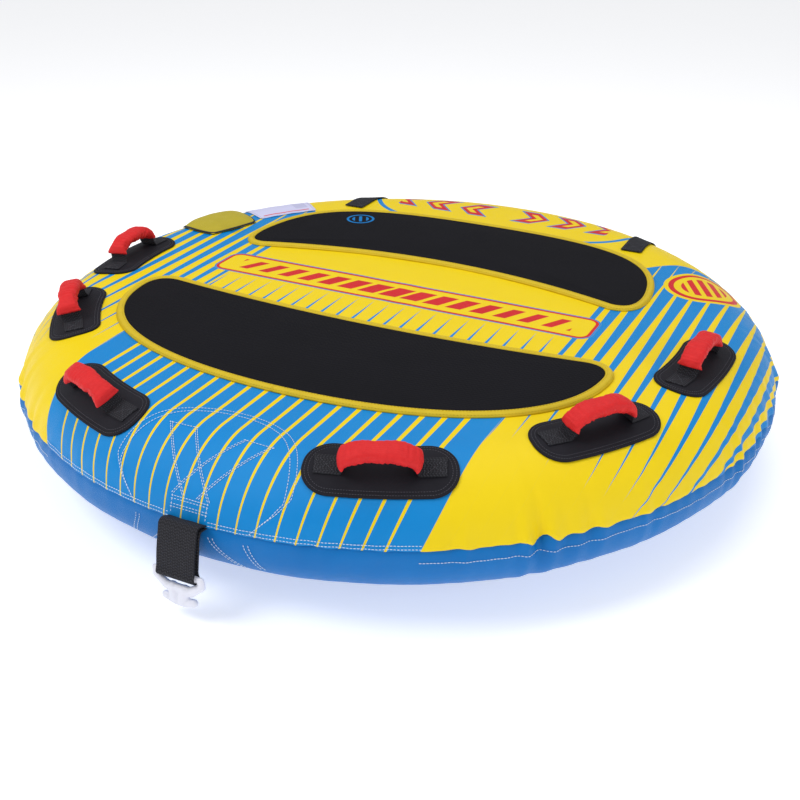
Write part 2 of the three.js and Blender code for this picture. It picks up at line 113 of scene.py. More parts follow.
# Points and normals of the bottom cover, from the waist (turn 0) to the foot (a quarter turn).
def onBilge(angle, turn):
    angle, turn = np.broadcast_arrays(np.asarray(angle, float), np.asarray(turn, float))
    power = cover["bilgePower"]

    def profile(t):
        across = np.clip(np.cos(t), 0, None) ** power
        down = np.clip(np.sin(t), 0, None) ** power
        return cover["footRadius"] + bilgeReach * across, cover["waistHeight"] * (1 - down)

    step = 1e-3
    r0, z0 = profile(np.clip(turn - step, 0, math.pi / 2))
    r1, z1 = profile(np.clip(turn + step, 0, math.pi / 2))
    slope = np.stack([z0 - z1, r1 - r0])
    slope = slope / np.linalg.norm(slope, axis=0)
    radius, height = profile(turn)
    return turned(angle, radius, height), turned(angle, slope[0], slope[1])


def bilgeTurn(radius):
    share = (np.asarray(radius, float) - cover["footRadius"]) / bilgeReach
    return np.arccos(share ** (1 / cover["bilgePower"]))


def smoothStep(x, low, high):
    t = np.clip((np.asarray(x, float) - low) / (high - low), 0, 1)
    return t * t * (3 - 2 * t)


def unit(rows):
    return rows / np.linalg.norm(rows, axis=1)[:, None]


# Distance from the first point to each of the others, along the line through them.
def runAlong(points):
    return np.concatenate([[0], np.cumsum(np.linalg.norm(np.diff(points, axis=0), axis=1))])


def headings(centres):
    return unit(np.gradient(centres, axis=0))


# A wave raised to a power with its sign kept: below 1 squares it up, above 1 sharpens it.
def squared(wave, power):
    return np.sign(wave) * np.abs(wave) ** power


# Mesh helpers

def makePiece(name, points, faces, material, uv=None, outside=False):
    mesh = bpy.data.meshes.new(name)
    mesh.from_pydata(np.asarray(points).tolist(), [], faces)
    if uv is not None:
        corners = np.empty(len(mesh.loops), np.int32)
        mesh.loops.foreach_get("vertex_index", corners)
        layer = mesh.uv_layers.new(name="cloth")
        layer.data.foreach_set("uv", np.asarray(uv, np.float32)[corners].ravel())
    if outside:
        faceOut(mesh)
    mesh.shade_smooth()
    mesh.materials.append(material)
    piece = bpy.data.objects.new(name, mesh)
    scene.collection.objects.link(piece)
    return piece


def faceOut(mesh):
    bm = bmesh.new()
    bm.from_mesh(mesh)
    bmesh.ops.recalc_face_normals(bm, faces=bm.faces)
    bm.to_mesh(mesh)
    bm.free()


def quadsBetween(rows, columns, around=True, along=False):
    faces = []
    last = columns if around else columns - 1
    for i in range(rows if along else rows - 1):
        a = i * columns
        b = ((i + 1) % rows) * columns
        for j in range(last):
            k = (j + 1) % columns
            faces.append((a + j, b + j, b + k, a + k))
    return faces


# A closed skin through closed sections. The two ends are capped unless the loft runs in a ring.
def loft(name, sections, material, uv=None, ring=False):
    sections = np.asarray(sections, float)
    rows, columns = sections.shape[:2]
    faces = quadsBetween(rows, columns, along=ring)
    if not ring:
        faces.append(tuple(range(columns)))
        faces.append(tuple(range((rows - 1) * columns, rows * columns))[::-1])
    flatUv = None if uv is None else np.asarray(uv, float).reshape(-1, 2)
    return makePiece(name, sections.reshape(-1, 3), faces, material, flatUv, outside=True)


# A closed skin, ring by ring from one pole on the axis to the other.
def skin(name, rows, poles, uvRows, material):
    rows = np.asarray(rows)
    count, columns = rows.shape[:2]
    faces = quadsBetween(count, columns)
    first = count * columns
    base = (count - 1) * columns
    for j in range(columns):
        k = (j + 1) % columns
        faces.append((first, j, k))
        faces.append((first + 1, base + k, base + j))
    points = np.concatenate([rows.reshape(-1, 3), poles])
    uv = np.concatenate([np.asarray(uvRows).reshape(-1, 2), np.zeros((2, 2))])
    return makePiece(name, points, faces, material, uv)


# Woven tape along a path: each point has the tape's normal and the direction across it.
def ribbon(name, centres, normals, across, width, thickness, material, ring=False):
    centres, normals, across = (np.asarray(x, float) for x in (centres, normals, across))
    width = np.broadcast_to(np.asarray(width, float), centres.shape[:1])
    edge = [-0.5, -0.497, -0.47, -0.25, 0, 0.25, 0.47, 0.497, 0.5]
    rise = [0, 0.32, 0.5, 0.5, 0.5, 0.5, 0.5, 0.32, 0]
    sides = edge + edge[-2:0:-1]
    heights = rise + [-h for h in rise[-2:0:-1]]
    length = runAlong(centres)
    sections = []
    uv = []
    for centre, normal, side, wide, run in zip(centres, normals, across, width, length):
        sections.append([
            centre + side * (s * wide) + normal * (h * thickness) for s, h in zip(sides, heights)
        ])
        uv.append([(s * wide, run) for s in sides])
    return loft(name, sections, material, uv, ring)


def bezier(*controls):
    controls = np.asarray(controls, float)
    t = np.linspace(0, 1, 80)[:-1, None]
    if len(controls) == 3:
        a, b, c = controls
        return a * (1 - t) ** 2 + b * (2 * t * (1 - t)) + c * t**2
    a, b, c, d = controls
    return a * (1 - t) ** 3 + b * (3 * t * (1 - t) ** 2) + c * (3 * t**2 * (1 - t)) + d * t**3


# A closed outline with evenly spaced points.
def evenly(outline, count):
    loop = np.concatenate([outline, outline[:1]])
    run = runAlong(loop)
    at = np.linspace(0, run[-1], count, endpoint=False)
    return np.stack([np.interp(at, run, loop[:, i]) for i in range(loop.shape[1])], -1)


# The outline moved outwards; outlines run anticlockwise.
def grown(outline, distance):
    along = unit(np.roll(outline, -1, axis=0) - np.roll(outline, 1, axis=0))
    return outline + np.stack([along[:, 1], -along[:, 0]], -1) * distance


def plainMesh(piece):
    view = bpy.context.evaluated_depsgraph_get()
    mesh = bpy.data.meshes.new_from_object(piece.evaluated_get(view))
    piece.modifiers.clear()
    piece.data = mesh
    return mesh


def vertexArray(mesh):
    points = np.empty(len(mesh.vertices) * 3)
    mesh.vertices.foreach_get("co", points)
    return points.reshape(-1, 3)


def setVertices(mesh, points):
    mesh.vertices.foreach_set("co", np.asarray(points, np.float32).ravel())
    mesh.update()


def settle(piece, body, slot, *nodes):
    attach(piece, body)
    if nodes:
        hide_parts(*nodes)
    return piece


# Shaders

class Wire:
    # A shader value that can be written as a sum.
    def __init__(self, finish, socket):
        self.finish = finish
        self.socket = socket

    def maths(self, operation, *values, clamp=False):
        settings = {"operation": operation, "use_clamp": clamp}
        inputs = dict(enumerate([self, *values]))
        return self.finish.wire("ShaderNodeMath", settings, inputs)

    def __add__(self, other):
        return self.maths("ADD", other)

    def __radd__(self, other):
        return self.maths("ADD", other)

    def __sub__(self, other):
        return self.maths("SUBTRACT", other)

    def __rsub__(self, other):
        return (self * -1) + other

    def __mul__(self, other):
        return self.maths("MULTIPLY", other)

    def __rmul__(self, other):
        return self.maths("MULTIPLY", other)

    def __truediv__(self, other):
        return self.maths("DIVIDE", other)

    def size(self):
        return self.maths("ABSOLUTE")

    def root(self):
        return self.maths("SQRT")

    def sine(self):
        return self.maths("SINE")

    def least(self, other):
        return self.maths("MINIMUM", other)

    def most(self, other):
        return self.maths("MAXIMUM", other)

    def toNearest(self, pitch):   # distance to the nearest multiple of the pitch
        return self.maths("PINGPONG", pitch / 2)

    def above(self, level, soft=0.0008):   # 1 where the value passes the level
        return ((self - level) / soft).maths("ADD", 0.5, clamp=True)

    def below(self, level, soft=0.0008):
        return 1 - self.above(level, soft)

    def clamped(self):
        return self.maths("ADD", 0, clamp=True)


class Finish:
    # One material, with the few calls that its nodes need.
    def __init__(self, name, **shader):
        self.material = bpy.data.materials.new(name)
        self.material.use_nodes = True
        self.tree = self.material.node_tree
        self.tree.nodes.clear()
        self.shader = self.node("ShaderNodeBsdfPrincipled", {}, shader)
        self.node("ShaderNodeOutputMaterial", {}, {"Surface": self.shader.outputs[0]})

    def node(self, kind, settings, values):
        node = self.tree.nodes.new(kind)
        for key, value in settings.items():
            setattr(node, key, value)
        for key, value in values.items():
            self.give(node.inputs[key.replace("_", " ") if isinstance(key, str) else key], value)
        return node

    def give(self, socket, value):
        if isinstance(value, Wire):
            value = value.socket
        if isinstance(value, bpy.types.NodeSocket):
            self.tree.links.new(value, socket)
        else:
            socket.default_value = value

    def wire(self, kind, settings, values, output=0):
        return Wire(self, self.node(kind, settings, values).outputs[output])

    def feed(self, **values):
        for key, value in values.items():
            self.give(self.shader.inputs[key.replace("_", " ")], value)

    def cloth(self):
        place = self.node("ShaderNodeUVMap", {"uv_map": "cloth"}, {})
        return self.parts(place.outputs[0])

    def place(self):
        return self.node("ShaderNodeTexCoord", {}, {}).outputs["Object"]

    def parts(self, socket):
        parts = self.node("ShaderNodeSeparateXYZ", {}, {0: socket})
        return [Wire(self, output) for output in parts.outputs]

    def vector(self, x, y, z=0.0):
        return self.wire("ShaderNodeCombineXYZ", {}, {0: x, 1: y, 2: z})

    def noise(self, scale, detail=3.0, at=None, roughness=0.55):
        values = {"Vector": at or self.place(), "Scale": scale, "Detail": detail, "Roughness": roughness}
        return self.wire("ShaderNodeTexNoise", {}, values)

    def mix(self, factor, first, second):
        settings = {"data_type": "RGBA"}
        return self.wire("ShaderNodeMix", settings, {0: factor, 6: first, 7: second}, 2)

    def bump(self, height, distance, strength=1.0):
        values = {"Strength": strength, "Distance": distance, "Height": height}
        self.feed(Normal=self.wire("ShaderNodeBump", {}, values))


def paint(red, green, blue):   # an 8-bit sRGB colour as linear light
    def linear(c):
        c = c / 255
        return c / 12.92 if c <= 0.04045 else ((c + 0.055) / 1.055) ** 2.4

    return (linear(red), linear(green), linear(blue), 1.0)


colours = {
    "yellow": paint(247, 216, 4),
    "yellowShade": paint(226, 190, 6),
    "blue": paint(0, 138, 212),
    "blueShade": paint(0, 118, 194),
    "blueUnder": paint(0, 116, 192),
    "red": paint(222, 30, 38),
    "redShade": paint(150, 14, 24),
    "gripRed": paint(232, 44, 44),
    # darker red laid along the grip creases: painted crease shade
    "gripPaintedShade": paint(186, 22, 30),
    "padBlack": paint(11, 11, 15),
    "guardBlack": paint(34, 33, 40),
    "webBlack": paint(40, 40, 45),
    "plasticWhite": paint(226, 227, 236),
    "plasticBlack": paint(34, 34, 38),
    "trimYellow": paint(226, 196, 26),
    "flapYellow": paint(196, 178, 42),
    "labelWhite": paint(214, 213, 244),
    "threadWhite": paint(232, 240, 248),
    "threadGrey": paint(88, 88, 96),
    "vinyl": paint(190, 198, 204),
    "padShade": paint(22, 21, 28),
    "padRing": paint(24, 120, 190),
    "guardShade": paint(22, 21, 27),
    "webShade": paint(24, 24, 28),
    "webPale": paint(66, 66, 73),
    "labelShade": paint(190, 190, 224),
    "labelInk": paint(96, 100, 150),
    "labelRed": paint(214, 62, 66),
    "vinylShade": paint(160, 172, 182),
    "blueUnderShade": paint(0, 98, 172),
    "trimShade": paint(196, 166, 16),
    "flapShade": paint(168, 152, 30),
    "plasticWhiteShade": paint(226, 226, 240),
    "plasticBlackShade": paint(22, 22, 26),
    "zipBlack": paint(30, 30, 34),
    "zipShade": paint(16, 16, 18),
    "threadYellow": paint(206, 176, 20),
    "floor": paint(236, 236, 238),
    "floorShade": paint(226, 226, 230),
}


# A plain weave: fine threads both ways, in metres of cloth.
def weave(u, v, pitch):
    warp = (u * (2 * math.pi / pitch)).sine()
    weft = (v * (2 * math.pi / pitch)).sine()
    return warp * weft * 0.5 + 0.5


# The printed top cover

printed = {
    "pitch": 0.0365,
    "centreHalf": 0.405,      # the front field and the strip between the pads
    "yellowPhase": 0.023,
    "bluePhase": 0.005,
    "sideStart": -0.5,        # the side stripes grow from nothing here to solid blue
    "sideRun": 0.95,
    "plateCentre": (-0.01, 0.0075),
    "plateHalf": (0.448, 0.056),
    "plateCorner": 0.03,
    "motifHeight": 0.618,
    "motifHalf": (0.285, 0.046),
    "badge": (0.58, 0.34),
    "badgeRadius": 0.078,
    "arcCentre": (0.19, 0.665),
    "arcRadius": 0.174,
    "arcHalf": 0.0062, "arcSide": 0.2, "arcRun": (0.45, 0.76),
    "lineGrowth": 0.0094, "lineBase": 0.0046, "lineLeast": 0.0009, "lineReach": 0.37,
    "fieldEnd": -0.3, "pointGrowth": -0.034, "pointBase": 0.0016, "pointEnd": -0.045,
    "unevenStep": 2.4, "uneven": 0.022,
    "peakSide": 0.53, "peakTop": 0.46, "peakInner": 6.4, "peakOuter": 3.2,
    "plateBlue": 0.004, "plateRed": 0.0105,
    "barSlant": 0.55, "barHalf": 0.0215, "barTaper": 0.028, "barLeast": 0.006,
    "barPitch": 0.052, "barRise": 0.026, "barReach": 0.40,
    "chevronLean": 0.9, "chevronPitch": 0.098, "chevronHalves": (0.0262, 0.0215, 0.0085),
    "badgeEdge": 0.01, "badgeRing": 0.012, "badgePitch": 0.026, "badgeBarHalf": 0.0075, "badgeInside": 0.05,
}


def roundedBox(x, y, half, corner):
    qx = x.size() - (half[0] - corner)
    qy = y.size() - (half[1] - corner)
    out = (qx.most(0) * qx.most(0) + qy.most(0) * qy.most(0)).root()
    return out + qx.most(qy).least(0) - corner


def printedNylon():
    f = Finish("printedNylon", Roughness=0.42, Specular_IOR_Level=0.22)
    p = printed
    pitch = p["pitch"]
    u, v, _ = f.cloth()
    side = u.size()

    # The front field: blue, with yellow lines that narrow towards the rim.
    lineHalf = ((v + 0.5) * p["lineGrowth"] + p["lineBase"]).most(p["lineLeast"])
    frontLines = (lineHalf - (u - p["yellowPhase"]).toNearest(pitch)).above(0, 0.0006)
    frontLines = frontLines * side.below(p["lineReach"])
    frontBlue = v.below(p["fieldEnd"]) * (1 - frontLines)

    # Between the pads: yellow, with blue lines that end in points below the plate.
    pointHalf = (v * p["pointGrowth"] - p["pointBase"]).most(0)
    middleLines = (pointHalf - (u - p["bluePhase"]).toNearest(pitch)).above(0.0003, 0.0006)
    middleLines = middleLines * v.above(p["fieldEnd"]) * v.below(p["pointEnd"])
    centre = side.below(p["centreHalf"]) * frontBlue.most(middleLines)

    # The sides: blue lines that grow into solid blue, with uneven points.
    index = ((side - p["bluePhase"]) / pitch).maths("ROUND")
    uneven = (index * p["unevenStep"]).sine() * p["uneven"]
    share = ((v + uneven - p["sideStart"]) / p["sideRun"]).clamped()
    sideLines = (share * (pitch / 2) - (side - p["bluePhase"]).toNearest(pitch)).above(0.0002, 0.0006)
    peak = side - p["peakSide"]
    inner = peak.least(0) * peak.least(0) * p["peakInner"]
    outer = peak.most(0) * peak.most(0) * p["peakOuter"]
    top = p["peakTop"] - inner - outer
    sideBlue = sideLines * (top - v).above(0) * side.above(p["centreHalf"])
    blue = centre.most(sideBlue)

    # Two blue lines run in from the rim on each side of the stern.
    ax = side - p["arcCentre"][0]
    ay = v - p["arcCentre"][1]
    ring = ((ax * ax + ay * ay).root() - p["arcRadius"]).size()
    start, end = p["arcRun"]
    arc = ring.below(p["arcHalf"]) * side.above(p["arcSide"]) * v.above(start) * v.below(end)
    blue = blue.most(arc)

    # The plate between the pads: an outline and slanted bars.
    px = u - p["plateCentre"][0]
    py = v - p["plateCentre"][1]
    plate = roundedBox(px, py, p["plateHalf"], p["plateCorner"])
    yellow = plate.below(0)
    blue = blue * (1 - yellow)
    blue = blue.most(plate.above(-p["plateBlue"]) * plate.below(0))
    red = plate.above(-p["plateRed"]) * plate.below(-p["plateBlue"])
    slant = px - py * p["barSlant"]
    barHalf = (p["barHalf"] - px.size() * p["barTaper"]).most(p["barLeast"])
    inBars = py.size().below(p["barRise"]) * px.size().below(p["barReach"])
    red = red.most((barHalf - slant.toNearest(p["barPitch"])).above(0) * inBars)

    # The stern motif: chevrons that point to the sides, red with a blue edge.
    my = (v - p["motifHeight"]).size()
    chevron = (side + my * p["chevronLean"]).toNearest(p["chevronPitch"])
    across, tall = p["motifHalf"]
    band = side.above(0.03) * side.below(across)
    blueHalf, redHalf, hollowHalf = p["chevronHalves"]
    blue = blue.most(chevron.below(blueHalf) * my.below(tall) * band)
    core = chevron.below(redHalf) * my.below(tall - 0.005) * band * side.above(0.036)
    hollow = chevron.below(hollowHalf) * my.below(tall - 0.02)
    red = red.most(core * (1 - hollow))
    blue = blue * (1 - core)

    # The badge on the right: a ring round three slanted bars.
    bx = u - p["badge"][0]
    by = v - p["badge"][1]
    far = (bx * bx + by * by).root()
    halo = far.below(p["badgeRadius"] + p["badgeEdge"])
    blue = blue * (1 - halo)
    red = red.most(far.above(p["badgeRadius"] - p["badgeRing"]) * far.below(p["badgeRadius"]))
    badgeBars = (bx + by * 0.5).toNearest(p["badgePitch"]).below(p["badgeBarHalf"])
    red = red.most(badgeBars * far.below(p["badgeInside"]))

    # Ink and cloth vary a little.
    cloudy = f.noise(7, 3, f.vector(u, v)).maths("MULTIPLY_ADD", 1.3, -0.25, clamp=True)
    yellowCloth = f.mix(cloudy * 0.28, colours["yellow"], colours["yellowShade"])
    blueCloth = f.mix(cloudy * 0.45, colours["blue"], colours["blueShade"])
    redInk = f.mix(cloudy * 0.4, colours["red"], colours["redShade"])
    colour = f.mix(red, f.mix(blue, yellowCloth, blueCloth), redInk)
    threads = weave(u, v, 0.0011)
    colour = f.mix(threads * 0.06, colour, (0.02, 0.02, 0.02, 1))
    fold = f.noise(34, 4, f.vector(u, v), 0.6)
    f.feed(Base_Color=colour, Roughness=cloudy * 0.1 + fold * 0.08 + 0.34)
    f.bump(threads * 0.18 + fold * 0.55 + f.noise(11, 2, f.vector(u, v)) * 1.6, 0.0013, 0.55)
    return f.material


def plainNylon(name, base, shade, roughness=0.42):
    f = Finish(name, Specular_IOR_Level=0.2)
    u, v, _ = f.cloth()
    cloudy = f.noise(6, 4, f.vector(u, v)).maths("MULTIPLY_ADD", 1.4, -0.3, clamp=True)
    threads = weave(u, v, 0.0011)
    fold = f.noise(26, 4, f.vector(u, v), 0.6)
    colour = f.mix(cloudy * 0.6, base, shade)
    f.feed(Base_Color=f.mix(threads * 0.06, colour, (0.01, 0.01, 0.02, 1)))
    f.feed(Roughness=cloudy * 0.12 + fold * 0.08 + (roughness - 0.1))
    f.bump(threads * 0.18 + fold * 0.8 + f.noise(9, 2, f.vector(u, v)) * 1.8, 0.0015, 0.6)
    return f.material


def paddedFoam():
    f = Finish("padFoam", Specular_IOR_Level=0.12)
    place = f.place()
    x, y, _ = f.parts(place)
    lint = f.noise(240, 4, place, 0.7)
    cloudy = f.noise(9, 3, place)
    rib = ((x * 620).sine() * (y * 620).sine()) * 0.5 + 0.5
    colour = f.mix(cloudy * 0.5 + lint * 0.3, colours["padBlack"], colours["padShade"])

    # A small generic ring printed on the rear pad: a circle and two bars.
    rx = x + 0.30
    ry = y - 0.39
    far = (rx * rx + ry * ry).root()
    ring = far.above(0.029) * far.below(0.035)
    bars = (rx + ry * 0.5).toNearest(0.02).below(0.0042) * far.below(0.021)
    colour = f.mix(ring.most(bars), colour, colours["padRing"])
    f.feed(Base_Color=colour, Roughness=lint * 0.15 + 0.7)
    f.bump(rib * 0.35 + lint * 0.9 + cloudy * 0.6, 0.0012, 0.7)
    return f.material


def guardNeoprene():
    f = Finish("guardNeoprene", Specular_IOR_Level=0.16)
    place = f.place()
    u, v, _ = f.cloth()
    grain = f.noise(420, 3, place, 0.6)
    cloudy = f.noise(18, 3, place)
    cells = weave(u, v, 0.0024)
    colour = f.mix(cloudy * 0.5 + cells * 0.25, colours["guardBlack"], colours["guardShade"])
    f.feed(Base_Color=colour, Roughness=grain * 0.15 + 0.62)
    f.bump(cells * 0.7 + grain * 0.5, 0.0008, 0.8)
    return f.material


def webbing():
    f = Finish("blackWebbing", Specular_IOR_Level=0.2)
    u, v, _ = f.cloth()
    pitch = 0.0052
    rows = (v * (2 * math.pi / pitch) + (u * (2 * math.pi / 0.0104)).sine() * 1.6).sine() * 0.5 + 0.5
    ribs = (u * (2 * math.pi / 0.0035)).sine() * 0.5 + 0.5
    fibre = f.noise(700, 3)
    colour = f.mix(rows * ribs * 0.75 + fibre * 0.25, colours["webShade"], colours["webPale"])
    f.feed(Base_Color=colour, Roughness=fibre * 0.2 + 0.62)
    f.bump(rows * 0.8 + ribs * 0.55 + fibre * 0.3, 0.0012, 1.0)
    return f.material


def gripNylon():
    f = Finish("gripNylon", Specular_IOR_Level=0.22)
    place = f.place()
    x, y, z = f.parts(place)
    threads = ((x * 3900).sine() + (y * 3900).sine() + (z * 3900).sine()) * 0.16 + 0.5
    crease = f.noise(85, 5, place, 0.65)
    cloudy = f.noise(24, 2, place)
    # The red darkens where the crease noise raises the bump: painted crease shade, plus a little random tone
    # from the cloudy noise.
    colour = f.mix(crease * 0.55 + cloudy * 0.2, colours["gripRed"], colours["gripPaintedShade"])
    f.feed(Base_Color=colour, Roughness=crease * 0.12 + 0.5)
    f.bump(threads * 0.3 + crease * 1.4, 0.0016, 0.75)
    return f.material


def moulded(name, base, shade, roughness, grainScale=160, grain=0.25, **shader):
    f = Finish(name, **shader)
    place = f.place()
    speck = f.noise(grainScale, 4, place, 0.6)
    cloudy = f.noise(14, 3, place)
    f.feed(Base_Color=f.mix(cloudy * 0.5 + speck * 0.2, base, shade))
    f.feed(Roughness=speck * 0.14 + (roughness - 0.07))
    f.bump(speck * grain + cloudy * 0.5, 0.0007, 0.5)
    return f.material


def tapeCloth(name, base, shade):
    f = Finish(name, Specular_IOR_Level=0.4)
    u, v, _ = f.cloth()
    threads = weave(u, v, 0.0016)
    cloudy = f.noise(30, 3)
    f.feed(Base_Color=f.mix(cloudy * 0.5 + threads * 0.2, base, shade))
    f.feed(Roughness=cloudy * 0.15 + 0.5)
    f.bump(threads * 0.5 + f.noise(120, 3) * 0.9, 0.0009, 0.7)
    return f.material


def thread(name, base):
    f = Finish(name, Specular_IOR_Level=0.3)
    twist = f.noise(900, 2)
    f.feed(Base_Color=f.mix(twist * 0.5, base, [c * 0.6 for c in base[:3]] + [1]))
    f.feed(Roughness=twist * 0.2 + 0.55)
    return f.material


def labelFilm():
    f = Finish("labelFilm", Specular_IOR_Level=0.5)
    u, v, _ = f.cloth()
    edge = roundedBox(u, v, (0.083, 0.046), 0.006)
    border = edge.above(-0.0062, 0.0004) * edge.below(-0.005, 0.0004)
    stripe = (v + 0.031).size().below(0.0028) * u.size().below(0.066)
    panel = (u + 0.052).size().below(0.0165) * (v - 0.008).size().below(0.022)
    wear = f.noise(20, 4)
    white = f.mix(wear * 0.35, colours["labelWhite"], colours["labelShade"])
    colour = f.mix(panel * 0.22 + border * 0.55, white, colours["labelInk"])
    f.feed(Base_Color=f.mix(stripe, colour, colours["labelRed"]), Roughness=wear * 0.15 + 0.34)
    f.bump(wear + weave(u, v, 0.0011) * 0.1, 0.0006, 0.5)
    return f.material


def clearVinyl():
    f = Finish("clearVinyl", Specular_IOR_Level=0.5)
    place = f.place()
    ripple = f.noise(16, 4, place)
    f.feed(Base_Color=f.mix(ripple, colours["vinyl"], colours["vinylShade"]), Roughness=ripple * 0.2 + 0.18)
    f.bump(ripple, 0.002, 0.6)
    return f.material


finishes = {
    "print": printedNylon(),
    "under": plainNylon("blueNylon", colours["blueUnder"], colours["blueUnderShade"]),
    "foam": paddedFoam(),
    "guard": guardNeoprene(),
    "webbing": webbing(),
    "grip": gripNylon(),
    "trim": tapeCloth("yellowTrim", colours["trimYellow"], colours["trimShade"]),
    "flap": tapeCloth("flapFabric", colours["flapYellow"], colours["flapShade"]),
    "binding": tapeCloth("blackBinding", colours["webBlack"], colours["webShade"]),
    "white": moulded("whitePlastic", colours["plasticWhite"], colours["plasticWhiteShade"], 0.36),
    "black": moulded("blackPlastic", colours["plasticBlack"], colours["plasticBlackShade"], 0.42, 400, 0.5),
    "zip": moulded("zipCoil", colours["zipBlack"], colours["zipShade"], 0.38, 600, 0.4),
    "label": labelFilm(),
    "vinyl": clearVinyl(),
    "whiteThread": thread("whiteThread", colours["threadWhite"]),
    "greyThread": thread("greyThread", colours["threadGrey"]),
    "yellowThread": thread("yellowThread", colours["threadYellow"]),
}
print("finishes made")


# Stitches: one tree lays a small thread bead at every step of the paths that it is given

def stitchTree():
    tree = bpy.data.node_groups.new("stitchesAlongPaths", "GeometryNodeTree")
    sockets = {}
    kinds = {"Geometry": "NodeSocketGeometry", "Material": "NodeSocketMaterial", "Seed": "NodeSocketInt"}
    for name in ["Geometry", "Pitch", "Half Length", "Half Width", "Seed", "Material"]:
        kind = kinds.get(name, "NodeSocketFloat")
        sockets[name] = tree.interface.new_socket(name, in_out="INPUT", socket_type=kind).identifier
    tree.interface.new_socket("Geometry", in_out="OUTPUT", socket_type="NodeSocketGeometry")

    def node(kind, values, **settings):
        made = tree.nodes.new(kind)
        for key, value in settings.items():
            setattr(made, key, value)
        for key, value in values.items():
            if isinstance(value, bpy.types.NodeSocket):
                tree.links.new(value, made.inputs[key])
            else:
                made.inputs[key].default_value = value
        return made

    given = node("NodeGroupInput", {}).outputs
    curve = node("GeometryNodeMeshToCurve", {"Mesh": given["Geometry"]})
    points = node(
        "GeometryNodeCurveToPoints", {"Curve": curve.outputs[0], "Length": given["Pitch"]}, mode="LENGTH",
    )
    bead = node("GeometryNodeMeshUVSphere", {"Segments": 6, "Rings": 4, "Radius": 1.0})
    loose = node(
        "FunctionNodeRandomValue", {2: 0.86, 3: 1.12, "Seed": given["Seed"]}, data_type="FLOAT",
    )
    long = node("ShaderNodeMath", {0: given["Half Length"], 1: loose.outputs[1]}, operation="MULTIPLY")
    size = node(
        "ShaderNodeCombineXYZ",
        {0: given["Half Width"], 1: given["Half Width"], 2: long.outputs[0]},
    )
    facing = node("FunctionNodeAlignRotationToVector", {"Vector": points.outputs["Tangent"]}, axis="Z")
    beads = node("GeometryNodeInstanceOnPoints", {
        "Points": points.outputs["Points"], "Instance": bead.outputs["Mesh"],
        "Rotation": facing.outputs[0], "Scale": size.outputs[0],
    })
    real = node("GeometryNodeRealizeInstances", {"Geometry": beads.outputs[0]})
    coloured = node("GeometryNodeSetMaterial", {"Geometry": real.outputs[0], "Material": given["Material"]})
    node("NodeGroupOutput", {"Geometry": coloured.outputs[0]})
    return tree, sockets


stitching = stitchTree()


# paths is a list of (points, closed).
def stitchPaths(name, paths, material, pitch=0.0052, halfLength=0.0019, halfWidth=0.00055, seed=1):
    tree, sockets = stitching
    points = []
    edges = []
    for path, closed in paths:
        first = len(points)
        points.extend(np.asarray(path).tolist())
        count = len(path)
        edges.extend((first + i, first + i + 1) for i in range(count - 1))
        if closed:
            edges.append((first + count - 1, first))
    mesh = bpy.data.meshes.new(name)
    mesh.from_pydata(points, edges, [])
    piece = bpy.data.objects.new(name, mesh)
    scene.collection.objects.link(piece)
    modifier = piece.modifiers.new("stitches", "NODES")
    modifier.node_group = tree
    values = {
        "Pitch": pitch, "Half Length": halfLength, "Half Width": halfWidth, "Seed": seed,
        "Material": material,
    }
    for key, value in values.items():
        modifier[sockets[key]] = value
    plainMesh(piece).shade_smooth()
    return piece


# The two covers

rng = np.random.default_rng(11)
puckerWaves = [(int(k), rng.uniform(0, 2 * math.pi)) for k in rng.choice(np.arange(58, 150), 16, False)]
swellWaves = [(int(k), rng.uniform(0, 2 * math.pi)) for k in rng.choice(np.arange(5, 30), 9, False)]


# How much the cloth gathers along the seam: little by the tow point, most over the rest of the rim.
def gather(angle):
    waves = sum(np.sin(k * angle + phase) for k, phase in puckerWaves) / 3.2
    swell = sum(np.sin(k * angle + phase) for k, phase in swellWaves) / 3.0
    strength = 0.16 + 0.84 * smoothStep(np.abs(np.angle(np.exp(1j * angle))), 0.45, 0.95)
    return strength * squared(waves, 1.25) * (0.75 + 0.35 * np.tanh(swell))


# How far the lower panel stands off its smooth shape, past the seam along the cloth.
def bottomLift(angle, past):
    low = sum(np.sin(k * angle + phase) for k, phase in swellWaves[4:]) / 4
    over = np.maximum(past, 0)
    folds = cover["puckerDepth"] * gather(angle) * np.exp(-over / cover["foldReach"])
    waves = low + 0.5 * np.sin(23 * angle + over * 30)
    slow = cover["slackDepth"] * waves * np.exp(-over / cover["slackReach"])
    return folds + slow * smoothStep(over, 0, 0.03) * (1 - smoothStep(over, 0.40, 0.50))


valve = {
    "angle": math.radians(-109.8), "distance": 0.618, "flapDistance": 0.645,
    "flapLength": 0.164, "flapWidth": 0.124, "dome": 0.016, "flapLift": 0.0016, "flapThickness": 0.0022,
    "bore": 0.015, "coverHole": 0.030, "capLift": 0.0135, "capRidges": 24, "capRidgeDepth": 0.0011,
    "barHalf": 0.021, "barWidth": 0.0038, "barRise": 0.0026, "barLift": 0.0057,
    "bindingWidth": 0.0042, "bindingIn": 0.0026, "bindingHeight": 0.0024, "bindingRounds": 14,
}
valvePlace = onDeck(valve["angle"], valve["distance"])[0]
bladderTop = cover["height"] - 0.012


